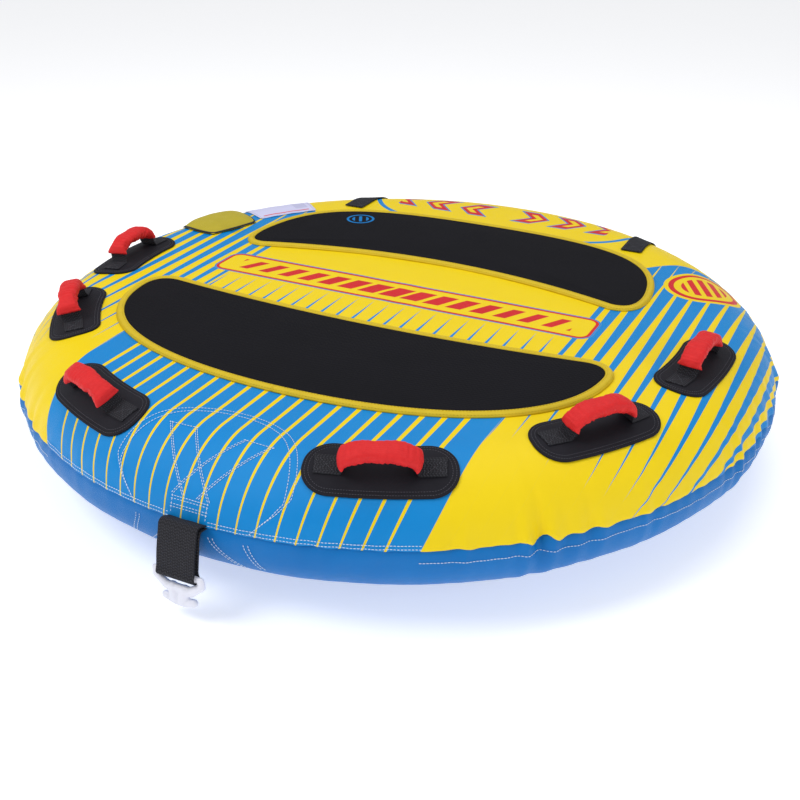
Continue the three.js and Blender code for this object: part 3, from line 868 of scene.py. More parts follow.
# A round hole through the cloth, for what stands up through it.
def cutHole(piece, place, radius):
    bm = bmesh.new()
    bmesh.ops.create_cone(
        bm, cap_ends=True, segments=64, radius1=radius, radius2=radius, depth=0.02,
        matrix=Matrix.Translation(Vector(place)),
    )
    mesh = bpy.data.meshes.new("hole")
    bm.to_mesh(mesh)
    bm.free()
    cutter = bpy.data.objects.new("hole", mesh)
    scene.collection.objects.link(cutter)
    modifier = piece.modifiers.new("hole", "BOOLEAN")
    modifier.operation = "DIFFERENCE"
    modifier.solver = "EXACT"
    modifier.object = cutter
    plainMesh(piece)
    bpy.data.objects.remove(cutter)
    bpy.data.meshes.remove(mesh)


def makeTopCover():
    angle = np.linspace(0, 2 * math.pi, cover["columns"], endpoint=False)
    puckers = gather(angle)
    swell = sum(np.sin(k * angle + phase) for k, phase in swellWaves[:4]) / 4
    edge = seamDistance
    distances = np.concatenate([
        np.linspace(0.04, 0.60, 11), np.linspace(0.625, 0.77, 15),
        np.linspace(0.776, edge - 0.001, 22), [edge],
    ])
    rows = []
    uv = []

    def row(distance, offset):
        near = math.exp(-max(edge - distance, 0) / cover["puckerReach"])
        point, normal = onDeck(angle, distance + cover["edgeWave"] * np.roll(puckers, 2) * near)
        far = math.exp(-max(edge - distance, 0) / cover["swellReach"])
        hem = 1 - math.exp(-max(edge - distance, 0) / 0.004) * 0.35
        lift = cover["puckerDepth"] * (puckers * near * hem + 0.35 * swell * far)
        soft = -0.0003 * (1 + np.sin(5 * angle + distance * 14)) * (1 if distance < 0.75 else 0.3)
        rows.append(point + normal * (offset + lift + soft)[:, None])
        uv.append(np.stack([distance * np.sin(angle), -distance * np.cos(angle)], -1))

    for distance in distances:
        folded = smoothStep(distance, edge - cover["hemDepth"] - 0.0015, edge - cover["hemDepth"] + 0.0015)
        row(distance, np.full_like(angle, 0.0007 * folded))
    wall = cover["wall"]
    for step, depth in [(0.0009, 0.0002), (0.0012, -0.0008), (0.0008, -0.0017)]:
        row(edge + step, np.full_like(angle, depth))
    for distance in [edge - 0.004, edge - 0.02, edge - 0.05, 0.76, 0.70, 0.64, 0.3]:
        row(distance, np.full_like(angle, -wall))
    top = cover["height"]
    poles = [(0, 0, top - 0.0003), (0, 0, top - wall)]
    piece = skin("top_cover_cloth", rows, poles, uv, finishes["print"])
    cutHole(piece, valvePlace, valve["coverHole"])
    cut = (edge + cover["seamAllowance"]) * 2
    math.pi * cut**2 / 4
    return settle(piece, "hull", "printed_nylon", "top_cover")


def makeBottomCover():
    angle = np.linspace(0, 2 * math.pi, cover["columns"], endpoint=False)
    rows = []
    uv = []
    wall = cover["wall"]

    def row(point, normal, offset, run, lift):
        rows.append(point + normal * (offset + lift)[:, None])
        uv.append(np.stack([run * np.sin(angle), -run * np.cos(angle)], -1))

    def deckRow(distance, offset):
        point, normal = onDeck(angle, np.full_like(angle, distance))
        row(point, normal, np.full_like(angle, offset), distance, bottomLift(angle, distance - seamDistance))

    def bilgeRow(turn, offset, run):
        point, normal = onBilge(angle, np.full_like(angle, turn))
        row(point, normal, np.full_like(angle, offset), run, bottomLift(angle, run - seamDistance))

    def footRow(radius, offset):
        point = turned(angle, np.full_like(angle, radius), np.zeros_like(angle))
        down = np.tile([0.0, 0.0, -1.0], (len(angle), 1))
        run = runs[-1] + cover["footRadius"] - radius
        row(point, down, np.full_like(angle, offset), run, np.zeros_like(angle))

    turns = np.concatenate([np.linspace(0.02, 0.5, 18), np.linspace(0.56, math.pi / 2, 20)])
    runs = []
    run = waistDistance
    last = onBilge(0.0, 0.0)[0]
    for turn in turns:
        here = onBilge(0.0, turn)[0]
        run += float(np.linalg.norm(here - last))
        runs.append(run)
        last = here
    for radius in [0.15, 0.30]:
        footRow(radius, -wall)
    for i in range(len(turns) - 1, -1, -5):
        bilgeRow(turns[i], -wall, runs[i])
    for distance in [waistDistance - 0.004, seamDistance, seamDistance - 0.007]:
        deckRow(distance, -cover["tuck"] - wall)
    for distance, offset in [
        (seamDistance - 0.008, -0.0036), (seamDistance - 0.007, -cover["tuck"]),
        (seamDistance, -cover["tuck"]), (seamDistance + 0.002, -0.0020), (seamDistance + 0.006, -0.0009),
        (seamDistance + 0.011, -0.0002), (seamDistance + 0.016, 0), (waistDistance - 0.002, 0),
    ]:
        deckRow(distance, offset)
    for turn, run in zip(turns, runs):
        bilgeRow(turn, 0, run)
    for radius in [0.30, 0.15]:
        footRow(radius, 0)
    poles = [(0, 0, wall), (0, 0, 0)]
    piece = skin("bottom_cover_cloth", rows, poles, uv, finishes["under"])
    cut = (runs[-1] - seamDistance + cover["footRadius"] + cover["seamAllowance"]) * 2
    math.pi * cut**2 / 4
    return settle(piece, "hull", "blue_nylon", "bottom_cover")


makeTopCover()
makeBottomCover()
print("covers made")


# Pads and their raised borders

pads = {
    "thickness": 0.0065,
    "edgeHeight": 0.0022,
    "crown": 0.0025,
    "edgeRound": 0.007,
    "trimWidth": 0.015,
    "trimRise": 0.0075,
    "gap": 0.0004,
    "front": [
        [(0, -0.505), (0.300, -0.505), (0.505, -0.400), (0.518, -0.215)],
        [(0.518, -0.215), (0.522, -0.172), (0.500, -0.152), (0.465, -0.155)],
        [(0.465, -0.155), (0, -0.215), (-0.465, -0.155)],
        [(-0.465, -0.155), (-0.500, -0.152), (-0.522, -0.172), (-0.518, -0.215)],
        [(-0.518, -0.215), (-0.505, -0.400), (-0.300, -0.505), (0, -0.505)],
    ],
    "rear": [
        [(0, 0.495), (-0.320, 0.497), (-0.462, 0.440), (-0.478, 0.215)],
        [(-0.478, 0.215), (-0.480, 0.160), (-0.465, 0.134), (-0.430, 0.138)],
        [(-0.430, 0.138), (0, 0.286), (0.430, 0.138)],
        [(0.430, 0.138), (0.465, 0.134), (0.480, 0.160), (0.478, 0.215)],
        [(0.478, 0.215), (0.462, 0.440), (0.320, 0.497), (0, 0.495)],
    ],
}


def padOutline(place, count=420):
    return evenly(np.concatenate([bezier(*curve) for curve in pads[place]]), count)


def makePad(place, middle):
    outline = padOutline(place)
    count = len(outline)
    rest = cover["height"] + pads["gap"]
    insets = [0, 0.0006, 0.002, 0.004, 0.007, 0.012, 0.02]
    rows = [np.column_stack([outline, np.full(count, rest)])]
    for inset in insets:
        share = min(inset / pads["edgeRound"], 1)
        crest = pads["thickness"] - pads["edgeHeight"]
        height = pads["edgeHeight"] + crest * math.sqrt(1 - (1 - share) ** 2)
        rows.append(np.column_stack([grown(outline, -inset), np.full(count, rest + height)]))
    core = grown(outline, -insets[-1])
    centre = np.asarray(middle, float)
    for share in np.linspace(0.95, 0.05, 19):
        flat = centre + (core - centre) * share
        soft = np.sin(flat[:, 0] * 23 + 1) * np.sin(flat[:, 1] * 31) * 0.0005
        height = pads["thickness"] + pads["crown"] * (1 - share**3) + soft * (1 - share)
        rows.append(np.column_stack([flat, rest + height]))
    points = np.concatenate(rows + [[[*centre, rest + pads["thickness"] + pads["crown"]], [*centre, rest]]])
    faces = quadsBetween(len(rows), count)
    peak = len(rows) * count
    last = (len(rows) - 1) * count
    for j in range(count):
        k = (j + 1) % count
        faces.append((last + j, peak, last + k))
        faces.append((peak + 1, j, k))
    piece = makePiece(f"{place}_pad_foam", points, faces, finishes["foam"], outside=True)
    return settle(piece, "hull", "black_foam", f"{place}_pad")


def makePadTrim(place):
    outline = padOutline(place)
    rest = cover["height"] + 0.0002
    wide = pads["trimWidth"]
    rise = pads["trimRise"]
    profile = [(-0.0015, 0.0), (-0.002, 0.004), (-0.001, 0.0066), (0.0015, 0.0078)]
    profile += [(wide * s, rise * (1 - 0.35 * (2 * s - 1) ** 2)) for s in (0.25, 0.4, 0.55, 0.7)]
    profile += [(wide * 0.86, rise * 0.58), (wide * 0.97, rise * 0.3), (wide, 0.0)]
    sections = np.stack([
        np.column_stack([grown(outline, across), np.full(len(outline), rest + height)])
        for across, height in profile
    ], axis=1)
    run = np.arange(len(outline)) * 0.006
    uv = np.stack([np.column_stack([np.full(len(outline), across), run]) for across, _ in profile], axis=1)
    piece = loft(f"{place}_pad_border", sections, finishes["trim"], uv, ring=True)
    return settle(piece, "hull", "yellow_trim", f"{place}_pad_trim")


padThreads = []
for place, middle in {"front": (0, -0.34), "rear": (0, 0.35)}.items():
    makePad(place, middle)
    makePadTrim(place)
    for across, height in [(0.0022, 0.0079), (0.0125, 0.0052)]:
        line = grown(padOutline(place), across)
        padThreads.append((np.column_stack([line, np.full(len(line), cover["height"] + height)]), True))
settle(stitchPaths("border_stitches", padThreads, finishes["yellowThread"], 0.006), "hull", "yellow_trim")
print("pads made")


# Handles: guard, webbing and padded grip

handles = {
    "places": {
        "front_left": (-23.5, 0.715), "front_right": (23.5, 0.715),
        "middle_left": (-55.5, 0.680), "middle_right": (55.5, 0.680),
        "rear_left": (-84.5, 0.662), "rear_right": (84.5, 0.662),
    },
    "guardLength": 0.256, "guardWidth": 0.104, "guardCorner": 0.049, "guardThickness": 0.0038,
    "guardRest": 0.0004, "pillow": 0.0008, "groove": 0.0009, "grooveWidth": 0.0014,
    "seat": 0.0047,             # the grip's own frame stands this far off the cover
    "gripHalf": 0.062, "gripRise": 0.044, "gripSquare": 0.74,
    "gripWidth": 0.043, "gripThickness": 0.019,
    "webWidth": 0.038, "webThickness": 0.0018,
    "patchFrom": 0.066, "patchTo": 0.108,
    "stitchRows": (0.0055, 0.0115), "edgeReach": 0.003, "edgeHeight": 0.0012,
    "footReach": 0.006, "footRise": 0.021,
    "sleeveStart": 0.30, "bow": 0.0028, "folds": 7, "foldDepth": 0.0016, "softDepth": 0.0008,
    "simVoxel": 0.0025, "simFrames": 20, "simPressure": 4.0, "simCap": 0.005,
}


def guardDepth(u, w):
    h = handles
    qx = np.abs(u) - (h["guardLength"] / 2 - h["guardCorner"])
    qy = np.abs(w) - (h["guardWidth"] / 2 - h["guardCorner"])
    outside = np.hypot(np.maximum(qx, 0), np.maximum(qy, 0))
    return h["guardCorner"] - outside - np.minimum(np.maximum(qx, qy), 0)


def guardHeight(depth):
    h = handles
    share = np.clip(depth / h["edgeReach"], 0, 1)
    height = h["edgeHeight"] + (h["guardThickness"] - h["edgeHeight"]) * np.sqrt(1 - (1 - share) ** 2)
    for row in h["stitchRows"]:
        height = height - h["groove"] * np.exp(-(((depth - row) / h["grooveWidth"]) ** 2))
    return height + h["pillow"] * smoothStep(depth, 0.012, 0.024)


# A point on the guard: u runs along it and w across, away from the middle of the deck.
def onGuard(place, u, w, lift):
    degrees, distance = handles["places"][place]
    angle = math.radians(degrees)
    radius = float(np.linalg.norm(onDeck(angle, distance)[0][:2]))
    point, normal = onDeck(angle + np.asarray(u, float) / radius, distance + np.asarray(w, float))
    return point + normal * np.asarray(lift, float)[..., None]


def handleFrame(place):
    degrees, distance = handles["places"][place]
    angle = math.radians(degrees)
    point, normal = onDeck(angle, distance)
    span = np.array([math.cos(angle), math.sin(angle), 0.0])
    side = np.cross(normal, span)
    return point + normal * handles["seat"], span, side, normal


def makeGuard(place):
    h = handles
    along = np.sin(np.linspace(-0.5, 0.5, 90) * math.pi) * h["guardLength"] / 2
    reach = h["guardLength"] / 2 - h["guardCorner"]
    sections = []
    uv = []
    across = np.sin(np.linspace(-0.5, 0.5, 44) * math.pi)
    for u in along:
        past = max(abs(u) - reach, 0)
        half = h["guardWidth"] / 2 - h["guardCorner"] + math.sqrt(max(h["guardCorner"] ** 2 - past**2, 0))
        w = across * half
        top = onGuard(place, np.full_like(w, u), w, h["guardRest"] + guardHeight(guardDepth(u, w)))
        back = w[::-1] * 0.995
        low = onGuard(place, np.full_like(back, u), back, np.full_like(back, h["guardRest"]))
        sections.append(np.concatenate([top, low]))
        uv.append(np.column_stack([np.full(88, u), np.concatenate([w, back])]))
    piece = loft(f"{place}_knuckle_guard", sections, finishes["guard"], uv)
    settle(piece, "hull", "neoprene", f"{place}_handle_guard")


def guardOutline(depth, count=260):
    h = handles
    corner = h["guardCorner"] - depth
    x = h["guardLength"] / 2 - h["guardCorner"]
    y = h["guardWidth"] / 2 - h["guardCorner"]
    points = []
    for cx, cy, start in [(x, -y, -90), (x, y, 0), (-x, y, 90), (-x, -y, 180)]:
        for degrees in range(start, start + 91, 6):
            turn = math.radians(degrees)
            points.append((cx + corner * math.cos(turn), cy + corner * math.sin(turn)))
    return evenly(np.array(points), count)


def archPoint(turn):
    h = handles
    square = h["gripSquare"]
    cosine, sine = np.cos(turn), np.clip(np.sin(turn), 0, None)
    return np.stack([
        -h["gripHalf"] * squared(cosine, square),
        np.zeros_like(turn),
        h["gripRise"] * sine**square,
    ], -1)


# One foot of the webbing: a flat sewn patch on the guard, then a rise into the sleeve.
def footPath(place, side):
    h = handles
    origin, span, across, normal = handleFrame(place)
    flat = np.linspace(h["patchTo"], h["patchFrom"], 12)
    rise = np.linspace(0, 1, 13)[1:]
    xs = np.concatenate([flat, h["patchFrom"] - h["footReach"] * np.sin(rise * math.pi / 2)])
    climb = h["footRise"] * (1 - np.cos(rise * math.pi / 2)) * (0.6 + 0.4 * rise)
    zs = np.concatenate([np.zeros(12), climb])
    straight = origin + np.outer(side * xs, span) + np.outer(zs, normal)
    rest = h["guardRest"] + h["guardThickness"] + h["pillow"] + h["webThickness"] / 2
    wrapped = onGuard(place, side * xs, np.zeros_like(xs), rest + zs)
    share = smoothStep(zs, 0.001, 0.015)[:, None]
    centres = wrapped * (1 - share) + straight * share
    along = headings(centres)
    normals = np.cross(np.tile(across, (len(xs), 1)), along)
    normals = normals * np.sign(normals @ normal)[:, None]
    return centres, normals, np.tile(across, (len(xs), 1))


def makeWebbing(place):
    h = handles
    origin, _, _, normal = handleFrame(place)
    feet = []
    for side in (-1, 1):
        centres, normals, across = footPath(place, side)
        size = h["webWidth"], h["webThickness"]
        feet.append(ribbon("foot", centres, normals, across, *size, finishes["webbing"]))
    piece = joined(f"{place}_webbing_feet", feet)
    origin + normal * 0.003
    origin + normal * 0.016
    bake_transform(piece)
    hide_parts(f"{place}_handle_webbing")


def joined(name, pieces):
    bm = bmesh.new()
    material = pieces[0].data.materials[0]
    for piece in pieces:
        bm.from_mesh(piece.data)
        old = piece.data
        bpy.data.objects.remove(piece)
        bpy.data.meshes.remove(old)
    mesh = bpy.data.meshes.new(name)
    bm.to_mesh(mesh)
    bm.free()
    mesh.materials.append(material)
    result = bpy.data.objects.new(name, mesh)
    scene.collection.objects.link(result)
    return result


# The sleeve in the handle's own frame: x along the span, y across and z away from the cover.
def sleeveShape(seed):
    h = handles
    turns = np.linspace(h["sleeveStart"], math.pi - h["sleeveStart"], 64)
    loop = np.linspace(0, 2 * math.pi, 40, endpoint=False)
    draw = np.random.default_rng(seed)
    phases = draw.uniform(0, 2 * math.pi, 6)
    centres = archPoint(turns)
    along = headings(centres)
    up = np.stack([-along[:, 2], np.zeros(len(turns)), along[:, 0]], -1)
    sections = []
    for i, turn in enumerate(turns):
        end = abs(2 * i / (len(turns) - 1) - 1)
        flare = smoothStep(end, 0.78, 1.0)
        wide = h["gripWidth"] * (1 + 0.13 * flare) * (1 + 0.03 * math.sin(5 * turn + phases[0]))
        thick = h["gripThickness"] * (1 - 0.42 * flare) * (1 + 0.05 * math.sin(7 * turn + phases[1]))
        bow = h["bow"] * flare
        y = squared(np.cos(loop), 0.75) * wide / 2
        z = squared(np.sin(loop), 0.8) * thick / 2
        z = z - bow * (2 * y / wide) ** 2
        sections.append(centres[i] + np.outer(y, [0, 1, 0]) + np.outer(z, up[i]))
    return loft(f"sleeve_{seed}", sections, finishes["grip"])


def simulateCloth(piece):
    h = handles
    remesh = piece.modifiers.new("remesh", "REMESH")
    remesh.mode = "VOXEL"
    remesh.voxel_size = h["simVoxel"]
    plainMesh(piece)
    start = vertexArray(piece.data)
    cloth = piece.modifiers.new("cloth", "CLOTH")
    cloth.settings.use_pressure = True
    cloth.settings.uniform_pressure_force = h["simPressure"]
    cloth.settings.effector_weights.gravity = 0
    cloth.settings.mass = 0.2
    cloth.settings.tension_stiffness = 12
    cloth.settings.bending_stiffness = 0.4
    cloth.settings.shrink_min = -0.04
    cloth.point_cache.frame_end = h["simFrames"]
    for frameNumber in range(1, h["simFrames"] + 1):
        scene.frame_set(frameNumber)
    view = bpy.context.evaluated_depsgraph_get()
    puffed = bpy.data.meshes.new_from_object(piece.evaluated_get(view))
    end = vertexArray(puffed)
    piece.modifiers.clear()
    bpy.data.meshes.remove(puffed)
    scene.frame_set(1)
    move = end - start
    size = np.linalg.norm(move, axis=1)[:, None]
    return start + move * np.minimum(1, h["simCap"] / np.maximum(size, 1e-9))


# The cloth gathers in small folds on the inside of the bend.
def gatherSleeve(piece, points, seed):
    h = handles
    draw = np.random.default_rng(seed + 50)
    setVertices(piece.data, points)
    normals = np.array([v.normal for v in piece.data.vertices])
    turn = np.arctan2(points[:, 2] / h["gripRise"], -points[:, 0] / h["gripHalf"])
    middle = archPoint(np.clip(turn, 0, math.pi))
    inside = np.linalg.norm(middle[:, [0, 2]], axis=1) - np.hypot(points[:, 0], points[:, 2])
    inner = smoothStep(inside, -0.003, 0.006)
    folds = np.zeros(len(points))
    for _ in range(h["folds"]):
        k = draw.uniform(22, 64)
        lean = draw.uniform(-70, 70)
        folds += np.sin(turn * k + points[:, 1] * lean + draw.uniform(0, 6.28))
    bend = 0.45 + 0.55 * np.exp(-((np.abs(turn - math.pi / 2) - 0.62) / 0.35) ** 2)
    soft = np.sin(turn * 9 + draw.uniform(0, 6)) * np.sin(points[:, 1] * 90 + draw.uniform(0, 6))
    shift = folds / 2.6 * h["foldDepth"] * (0.20 + inner * bend) + soft * h["softDepth"]
    setVertices(piece.data, points + normals * shift[:, None])


sleeves = []
for seed in (3, 8):
    shape = sleeveShape(seed)
    gatherSleeve(shape, simulateCloth(shape), seed)
    finer = shape.modifiers.new("finer", "SUBSURF")
    finer.levels = 1
    finer.render_levels = 1
    plainMesh(shape)
    sleeves.append(shape)


def makeGrip(place, source, mirrored):
    origin, span, side, normal = handleFrame(place)
    flip = -1 if mirrored else 1
    points = vertexArray(source.data)
    points[:, 0] *= flip
    mesh = source.data.copy()
    if mirrored:
        mesh.flip_normals()
    setVertices(mesh, origin + points @ np.array([span, side, normal]))
    mesh.shade_smooth()
    piece = bpy.data.objects.new(f"{place}_grip_sleeve", mesh)
    scene.collection.objects.link(piece)
    settle(piece, f"{place}_handle", "red_nylon", f"{place}_handle_grip")


guardThreads = []
patchThreads = []
for number, place in enumerate(handles["places"]):
    makeGuard(place)
    makeWebbing(place)
    makeGrip(place, sleeves[number % 2], number % 3 == 1)
    for depth in handles["stitchRows"]:
        outline = guardOutline(depth)
        lift = handles["guardRest"] + guardHeight(np.full(len(outline), depth)) + 0.0003
        guardThreads.append((onGuard(place, outline[:, 0], outline[:, 1], lift), True))
    for side in (-1, 1):
        inner, outer = handles["patchFrom"] + 0.004, handles["patchTo"] - 0.003
        half = handles["webWidth"] / 2 - 0.004
        lift = sum(handles[k] for k in ("guardRest", "guardThickness", "pillow", "webThickness")) + 0.0002
        corners = [(inner, -half), (outer, -half), (outer, half), (inner, half), (inner, -half)]
        for a, b in list(zip(corners, corners[1:])) + [(corners[0], corners[2]), (corners[1], corners[3])]:
            steps = np.linspace(0, 1, 12)[:, None]
            line = np.array(a) * (1 - steps) + np.array(b) * steps
            patchThreads.append((onGuard(place, side * line[:, 0], line[:, 1], np.full(12, lift)), False))
for shape in sleeves:
    bpy.data.objects.remove(shape)
guardRows = stitchPaths("guard_stitches", guardThreads, finishes["greyThread"], 0.0046, 0.0017, 0.0005)
settle(guardRows, "hull", "neoprene")
patchRows = stitchPaths("patch_stitches", patchThreads, finishes["greyThread"], 0.0042, 0.0015, 0.00042)
settle(patchRows, "hull", "neoprene")
print("handles made")


# Tow strap and hook

strapJoint = next(j for j in frame["joints"] if j["name"] == "tow_strap_swing")["pos_m"]
hookJoint = next(j for j in frame["joints"] if j["name"] == "tow_hook_swing")["pos_m"]
tow = {
    "width": 0.076,
    "web": 0.0026,
    "barRadius": 0.006,
    "wrapGap": 0.0016,
    "layerGap": 0.0052,   # from the strap's middle to the middle of each layer
    # y and z of the front layer where it leaves the seam, and of the back layer where it returns
    "foldOut": [(-0.786, 0.1728), (-0.799, 0.1742), (-0.808, 0.1795), (-0.8165, 0.1815), (-0.8235, 0.1775)],
    "foldBack": [(-0.8125, 0.1715), (-0.804, 0.1695), (-0.786, 0.1690)],
    "softening": 3,
}


def makeTowStrap():
    t = tow
    _, y1, z1 = strapJoint
    _, y2, z2 = hookJoint
    down = np.array([y2 - y1, z2 - z1])
    length = float(np.linalg.norm(down))
    down = down / length
    out = np.array([down[1], -down[0]])   # away from the tube
    if out[0] > 0:
        out = -out
    start = np.array([y1, z1])
    wrap = t["barRadius"] + t["web"] / 2 + t["wrapGap"]
    path = list(t["foldOut"])
    for share in (0.10, 0.22, 0.36, 0.5, 0.64, 0.78, 0.9):
        bow = 0.0022 * math.sin(share * math.pi)
        path.append(tuple(start + down * (length * share) + out * (t["layerGap"] + 0.0012 + bow)))
    for degrees in range(0, 181, 15):
        turn = math.radians(degrees)
        path.append(tuple(start + down * length + (out * math.cos(turn) + down * math.sin(turn)) * wrap))
    for share in (0.88, 0.72, 0.55, 0.38, 0.24, 0.12):
        path.append(tuple(start + down * (length * share) - out * t["layerGap"] * (0.35 + 0.4 * share)))
    path = np.array(path + t["foldBack"])
    run = runAlong(path)
    at = np.linspace(0, run[-1], 150)
    path = np.stack([np.interp(at, run, path[:, i]) for i in range(2)], -1)
    for _ in range(t["softening"]):
        path[1:-1] = path[1:-1] * 0.5 + (path[:-2] + path[2:]) * 0.25
    centres = np.column_stack([np.zeros(len(path)), path])
    along = headings(centres)
    across = np.tile([1.0, 0, 0], (len(path), 1))
    normals = np.cross(along, across)
    piece = ribbon("tow_strap_webbing", centres, normals, across, t["width"], t["web"], finishes["webbing"])
    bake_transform(piece)
    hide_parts("tow_strap", "tow_webbing_anchor")


def capsule(bm, a, b, radiusA, radiusB):
    a, b = Vector(a), Vector(b)
    along = (b - a).normalized() if (b - a).length > 1e-6 else Vector((1, 0, 0))
    turn = along.to_track_quat("Z", "Y").to_matrix().to_4x4()
    for end, radius in ((a, radiusA), (b, radiusB)):
        matrix = Matrix.Translation(end) @ turn
        bmesh.ops.create_uvsphere(bm, u_segments=20, v_segments=12, radius=radius, matrix=matrix)
    if (b - a).length > 1e-6:
        matrix = Matrix.Translation((a + b) / 2) @ turn
        bmesh.ops.create_cone(
            bm, cap_ends=True, segments=20, radius1=radiusA, radius2=radiusB, depth=(b - a).length,
            matrix=matrix,
        )


hook = {
    # x and z from the bar, with a radius at each end; the strap needs 38 mm clear each side
    "arms": [
        ((-0.045, 0), (0.046, 0), 0.0060, 0.0060),
        ((-0.0455, 0.000), (-0.0450, -0.013), 0.0052, 0.0060),
        ((-0.0450, -0.013), (-0.022, -0.029), 0.0060, 0.0088),
        ((0.0465, 0.000), (0.0462, -0.013), 0.0062, 0.0076),
        ((0.0462, -0.013), (0.024, -0.030), 0.0076, 0.0096),
        ((-0.022, -0.029), (0.024, -0.030), 0.0088, 0.0096),
        ((-0.012, -0.029), (-0.008, -0.052), 0.0105, 0.0100),
        ((0.012, -0.030), (0.006, -0.052), 0.0105, 0.0100),
        ((-0.028, -0.0505), (-0.008, -0.0555), 0.0074, 0.0086),
        ((-0.008, -0.0555), (0.010, -0.0560), 0.0086, 0.0086),
        ((0.010, -0.0560), (0.0280, -0.0515), 0.0086, 0.0080),
    ],
    "voxel": 0.0012, "smoothing": 7, "softness": 0.6, "flatten": 0.82,
    "barReach": 0.008, "barHalf": 0.037, "dimple": 0.34, "dimpleHalf": (0.0085, 0.0048), "dimpleDrop": 0.030,
}


def makeTowHook():
    origin = np.array(hookJoint)
    bm = bmesh.new()
    for (xa, za), (xb, zb), radiusA, radiusB in hook["arms"]:
        capsule(bm, (xa, 0, za), (xb, 0, zb), radiusA, radiusB)
    mesh = bpy.data.meshes.new("towHook")
    bm.to_mesh(mesh)
    bm.free()
    piece = bpy.data.objects.new("tow_hook_moulding", mesh)
    scene.collection.objects.link(piece)
    remesh = piece.modifiers.new("remesh", "REMESH")
    remesh.mode = "VOXEL"
    remesh.voxel_size = hook["voxel"]
    soften = piece.modifiers.new("soften", "SMOOTH")
    soften.iterations = hook["smoothing"]
    soften.factor = hook["softness"]
    plainMesh(piece)
    points = vertexArray(piece.data)
    bar = np.exp(-((points[:, 2] / hook["barReach"]) ** 2)) * (np.abs(points[:, 0]) < hook["barHalf"])
    points[:, 1] *= hook["flatten"] + (1 - hook["flatten"]) * bar
    dx, dz = hook["dimpleHalf"]
    dimple = np.exp(-((points[:, 0] / dx) ** 2) - (((points[:, 2] + hook["dimpleDrop"]) / dz) ** 2))
    points[:, 1] *= 1 - hook["dimple"] * dimple
    setVertices(piece.data, origin + points)
    piece.data.materials.clear()
    piece.data.materials.append(finishes["white"])
    piece.data.shade_smooth()
    settle(piece, "tow_hook", "white_plastic", "tow_hook")


makeTowStrap()
makeTowHook()


# White stitching: the seam and the tow reinforcement

seams = {
    "frontHalf": math.radians(28.4),   # the two front rows run this far each way from the tow point
    "frontRows": [(0.0026, 0.0013), (0.0088, 0.0012)],   # back from the seam, and lift
    "restPast": 0.024,
    "arch": [(-0.165, -0.77), (-0.150, -0.66), (-0.075, -0.625), (0, -0.625)],
    "archFeet": [(-0.112, -0.852), (-0.150, -0.800)],
    "legRows": (-0.0275, -0.0235, 0.0235, 0.0275),
    "barRows": (0.812, 0.817, 0.826, 0.831),
    "step": 0.006,
}


def bottomLine(angle, past):
    past = np.broadcast_to(np.asarray(past, float), np.shape(angle))
    room = waistDistance - seamDistance
    upper, upperNormal = onDeck(angle, seamDistance + np.minimum(past, room))
    turn = np.clip((past - room) / 0.30, 0, 1) * 0.62
    lower, lowerNormal = onBilge(angle, turn)
    low = (past > room)[:, None]
    return np.where(low, lower, upper), np.where(low, lowerNormal, upperNormal)


def seamLift(angle, distance):
    near = np.exp(-np.maximum(seamDistance - distance, 0) / cover["puckerReach"])
    return cover["puckerDepth"] * gather(angle) * near


whiteThreads = []
frontHalf = seams["frontHalf"]
for back, lift in seams["frontRows"]:
    front = np.linspace(-frontHalf, frontHalf, 260)
    front = front[np.abs(front) * cover["radius"] > tow["width"] / 2 + 0.002]
    for part in (front[front < 0], front[front > 0]):
        point, normal = onDeck(part, seamDistance - back)
        whiteThreads.append((point + normal * (lift + seamLift(part, seamDistance - back))[:, None], False))
rest = np.linspace(frontHalf, 2 * math.pi - frontHalf, 1300)
point, normal = bottomLine(rest, seams["restPast"])
restLift = bottomLift(rest, seams["restPast"]) + 0.0008
whiteThreads.append((point + normal * restLift[:, None], False))


def clothThread(points, lift=0.0009):
    points = np.asarray(points, float)
    run = runAlong(points)
    at = np.linspace(0, run[-1], max(int(run[-1] / seams["step"]), 4))
    u, v = (np.interp(at, run, points[:, i]) for i in range(2))
    keep = np.hypot(u, v) < seamDistance - 0.003
    point, normal = onCloth(u[keep], v[keep])
    whiteThreads.append((point + normal * lift, False))


archLine = np.concatenate([seams["archFeet"], bezier(*seams["arch"]), seams["arch"][-1:]])
for grow in (0.0, 0.010):
    side = np.column_stack([archLine[:, 0] * (1 + grow * 6), archLine[:, 1] + grow])
    clothThread(np.concatenate([side, side[::-1] * [-1, 1]]))
for sign in (-1, 1):
    for edge in seams["legRows"]:
        clothThread([(sign * (-0.010) + edge, -0.806), (sign * 0.075 + edge, -0.685)])
    clothThread([(sign * 0.075 - 0.0275, -0.685), (sign * 0.075 + 0.0275, -0.685)])
for distance in seams["barRows"]:
    clothThread([(-0.036, -distance), (0.036, -distance)])
for sign in (-1, 1):
    clothThread([(sign * 0.036, -0.812), (sign * 0.036, -0.845)])

# The reinforcement goes on below the seam.
for sign in (-1, 1):
    for start, spread, shift in [
        (0.128, 0.30, 0), (0.128, 0.30, 0.010), (0.045, 0.55, 0), (0.045, 0.55, 0.010),
    ]:
        past = np.linspace(0.020, 0.17 if spread > 0.4 else 0.14, 30)
        angle = sign * (start + shift + spread * past**1.15)
        point, normal = bottomLine(angle, past)
        whiteThreads.append((point + normal * (bottomLift(angle, past) + 0.0010)[:, None], False))
whiteRows = stitchPaths("white_stitches", whiteThreads, finishes["whiteThread"], 0.0058, 0.0024, 0.00062)
settle(whiteRows, "hull", "printed_nylon")
print("tow point made")


# Boarding strap over the stern

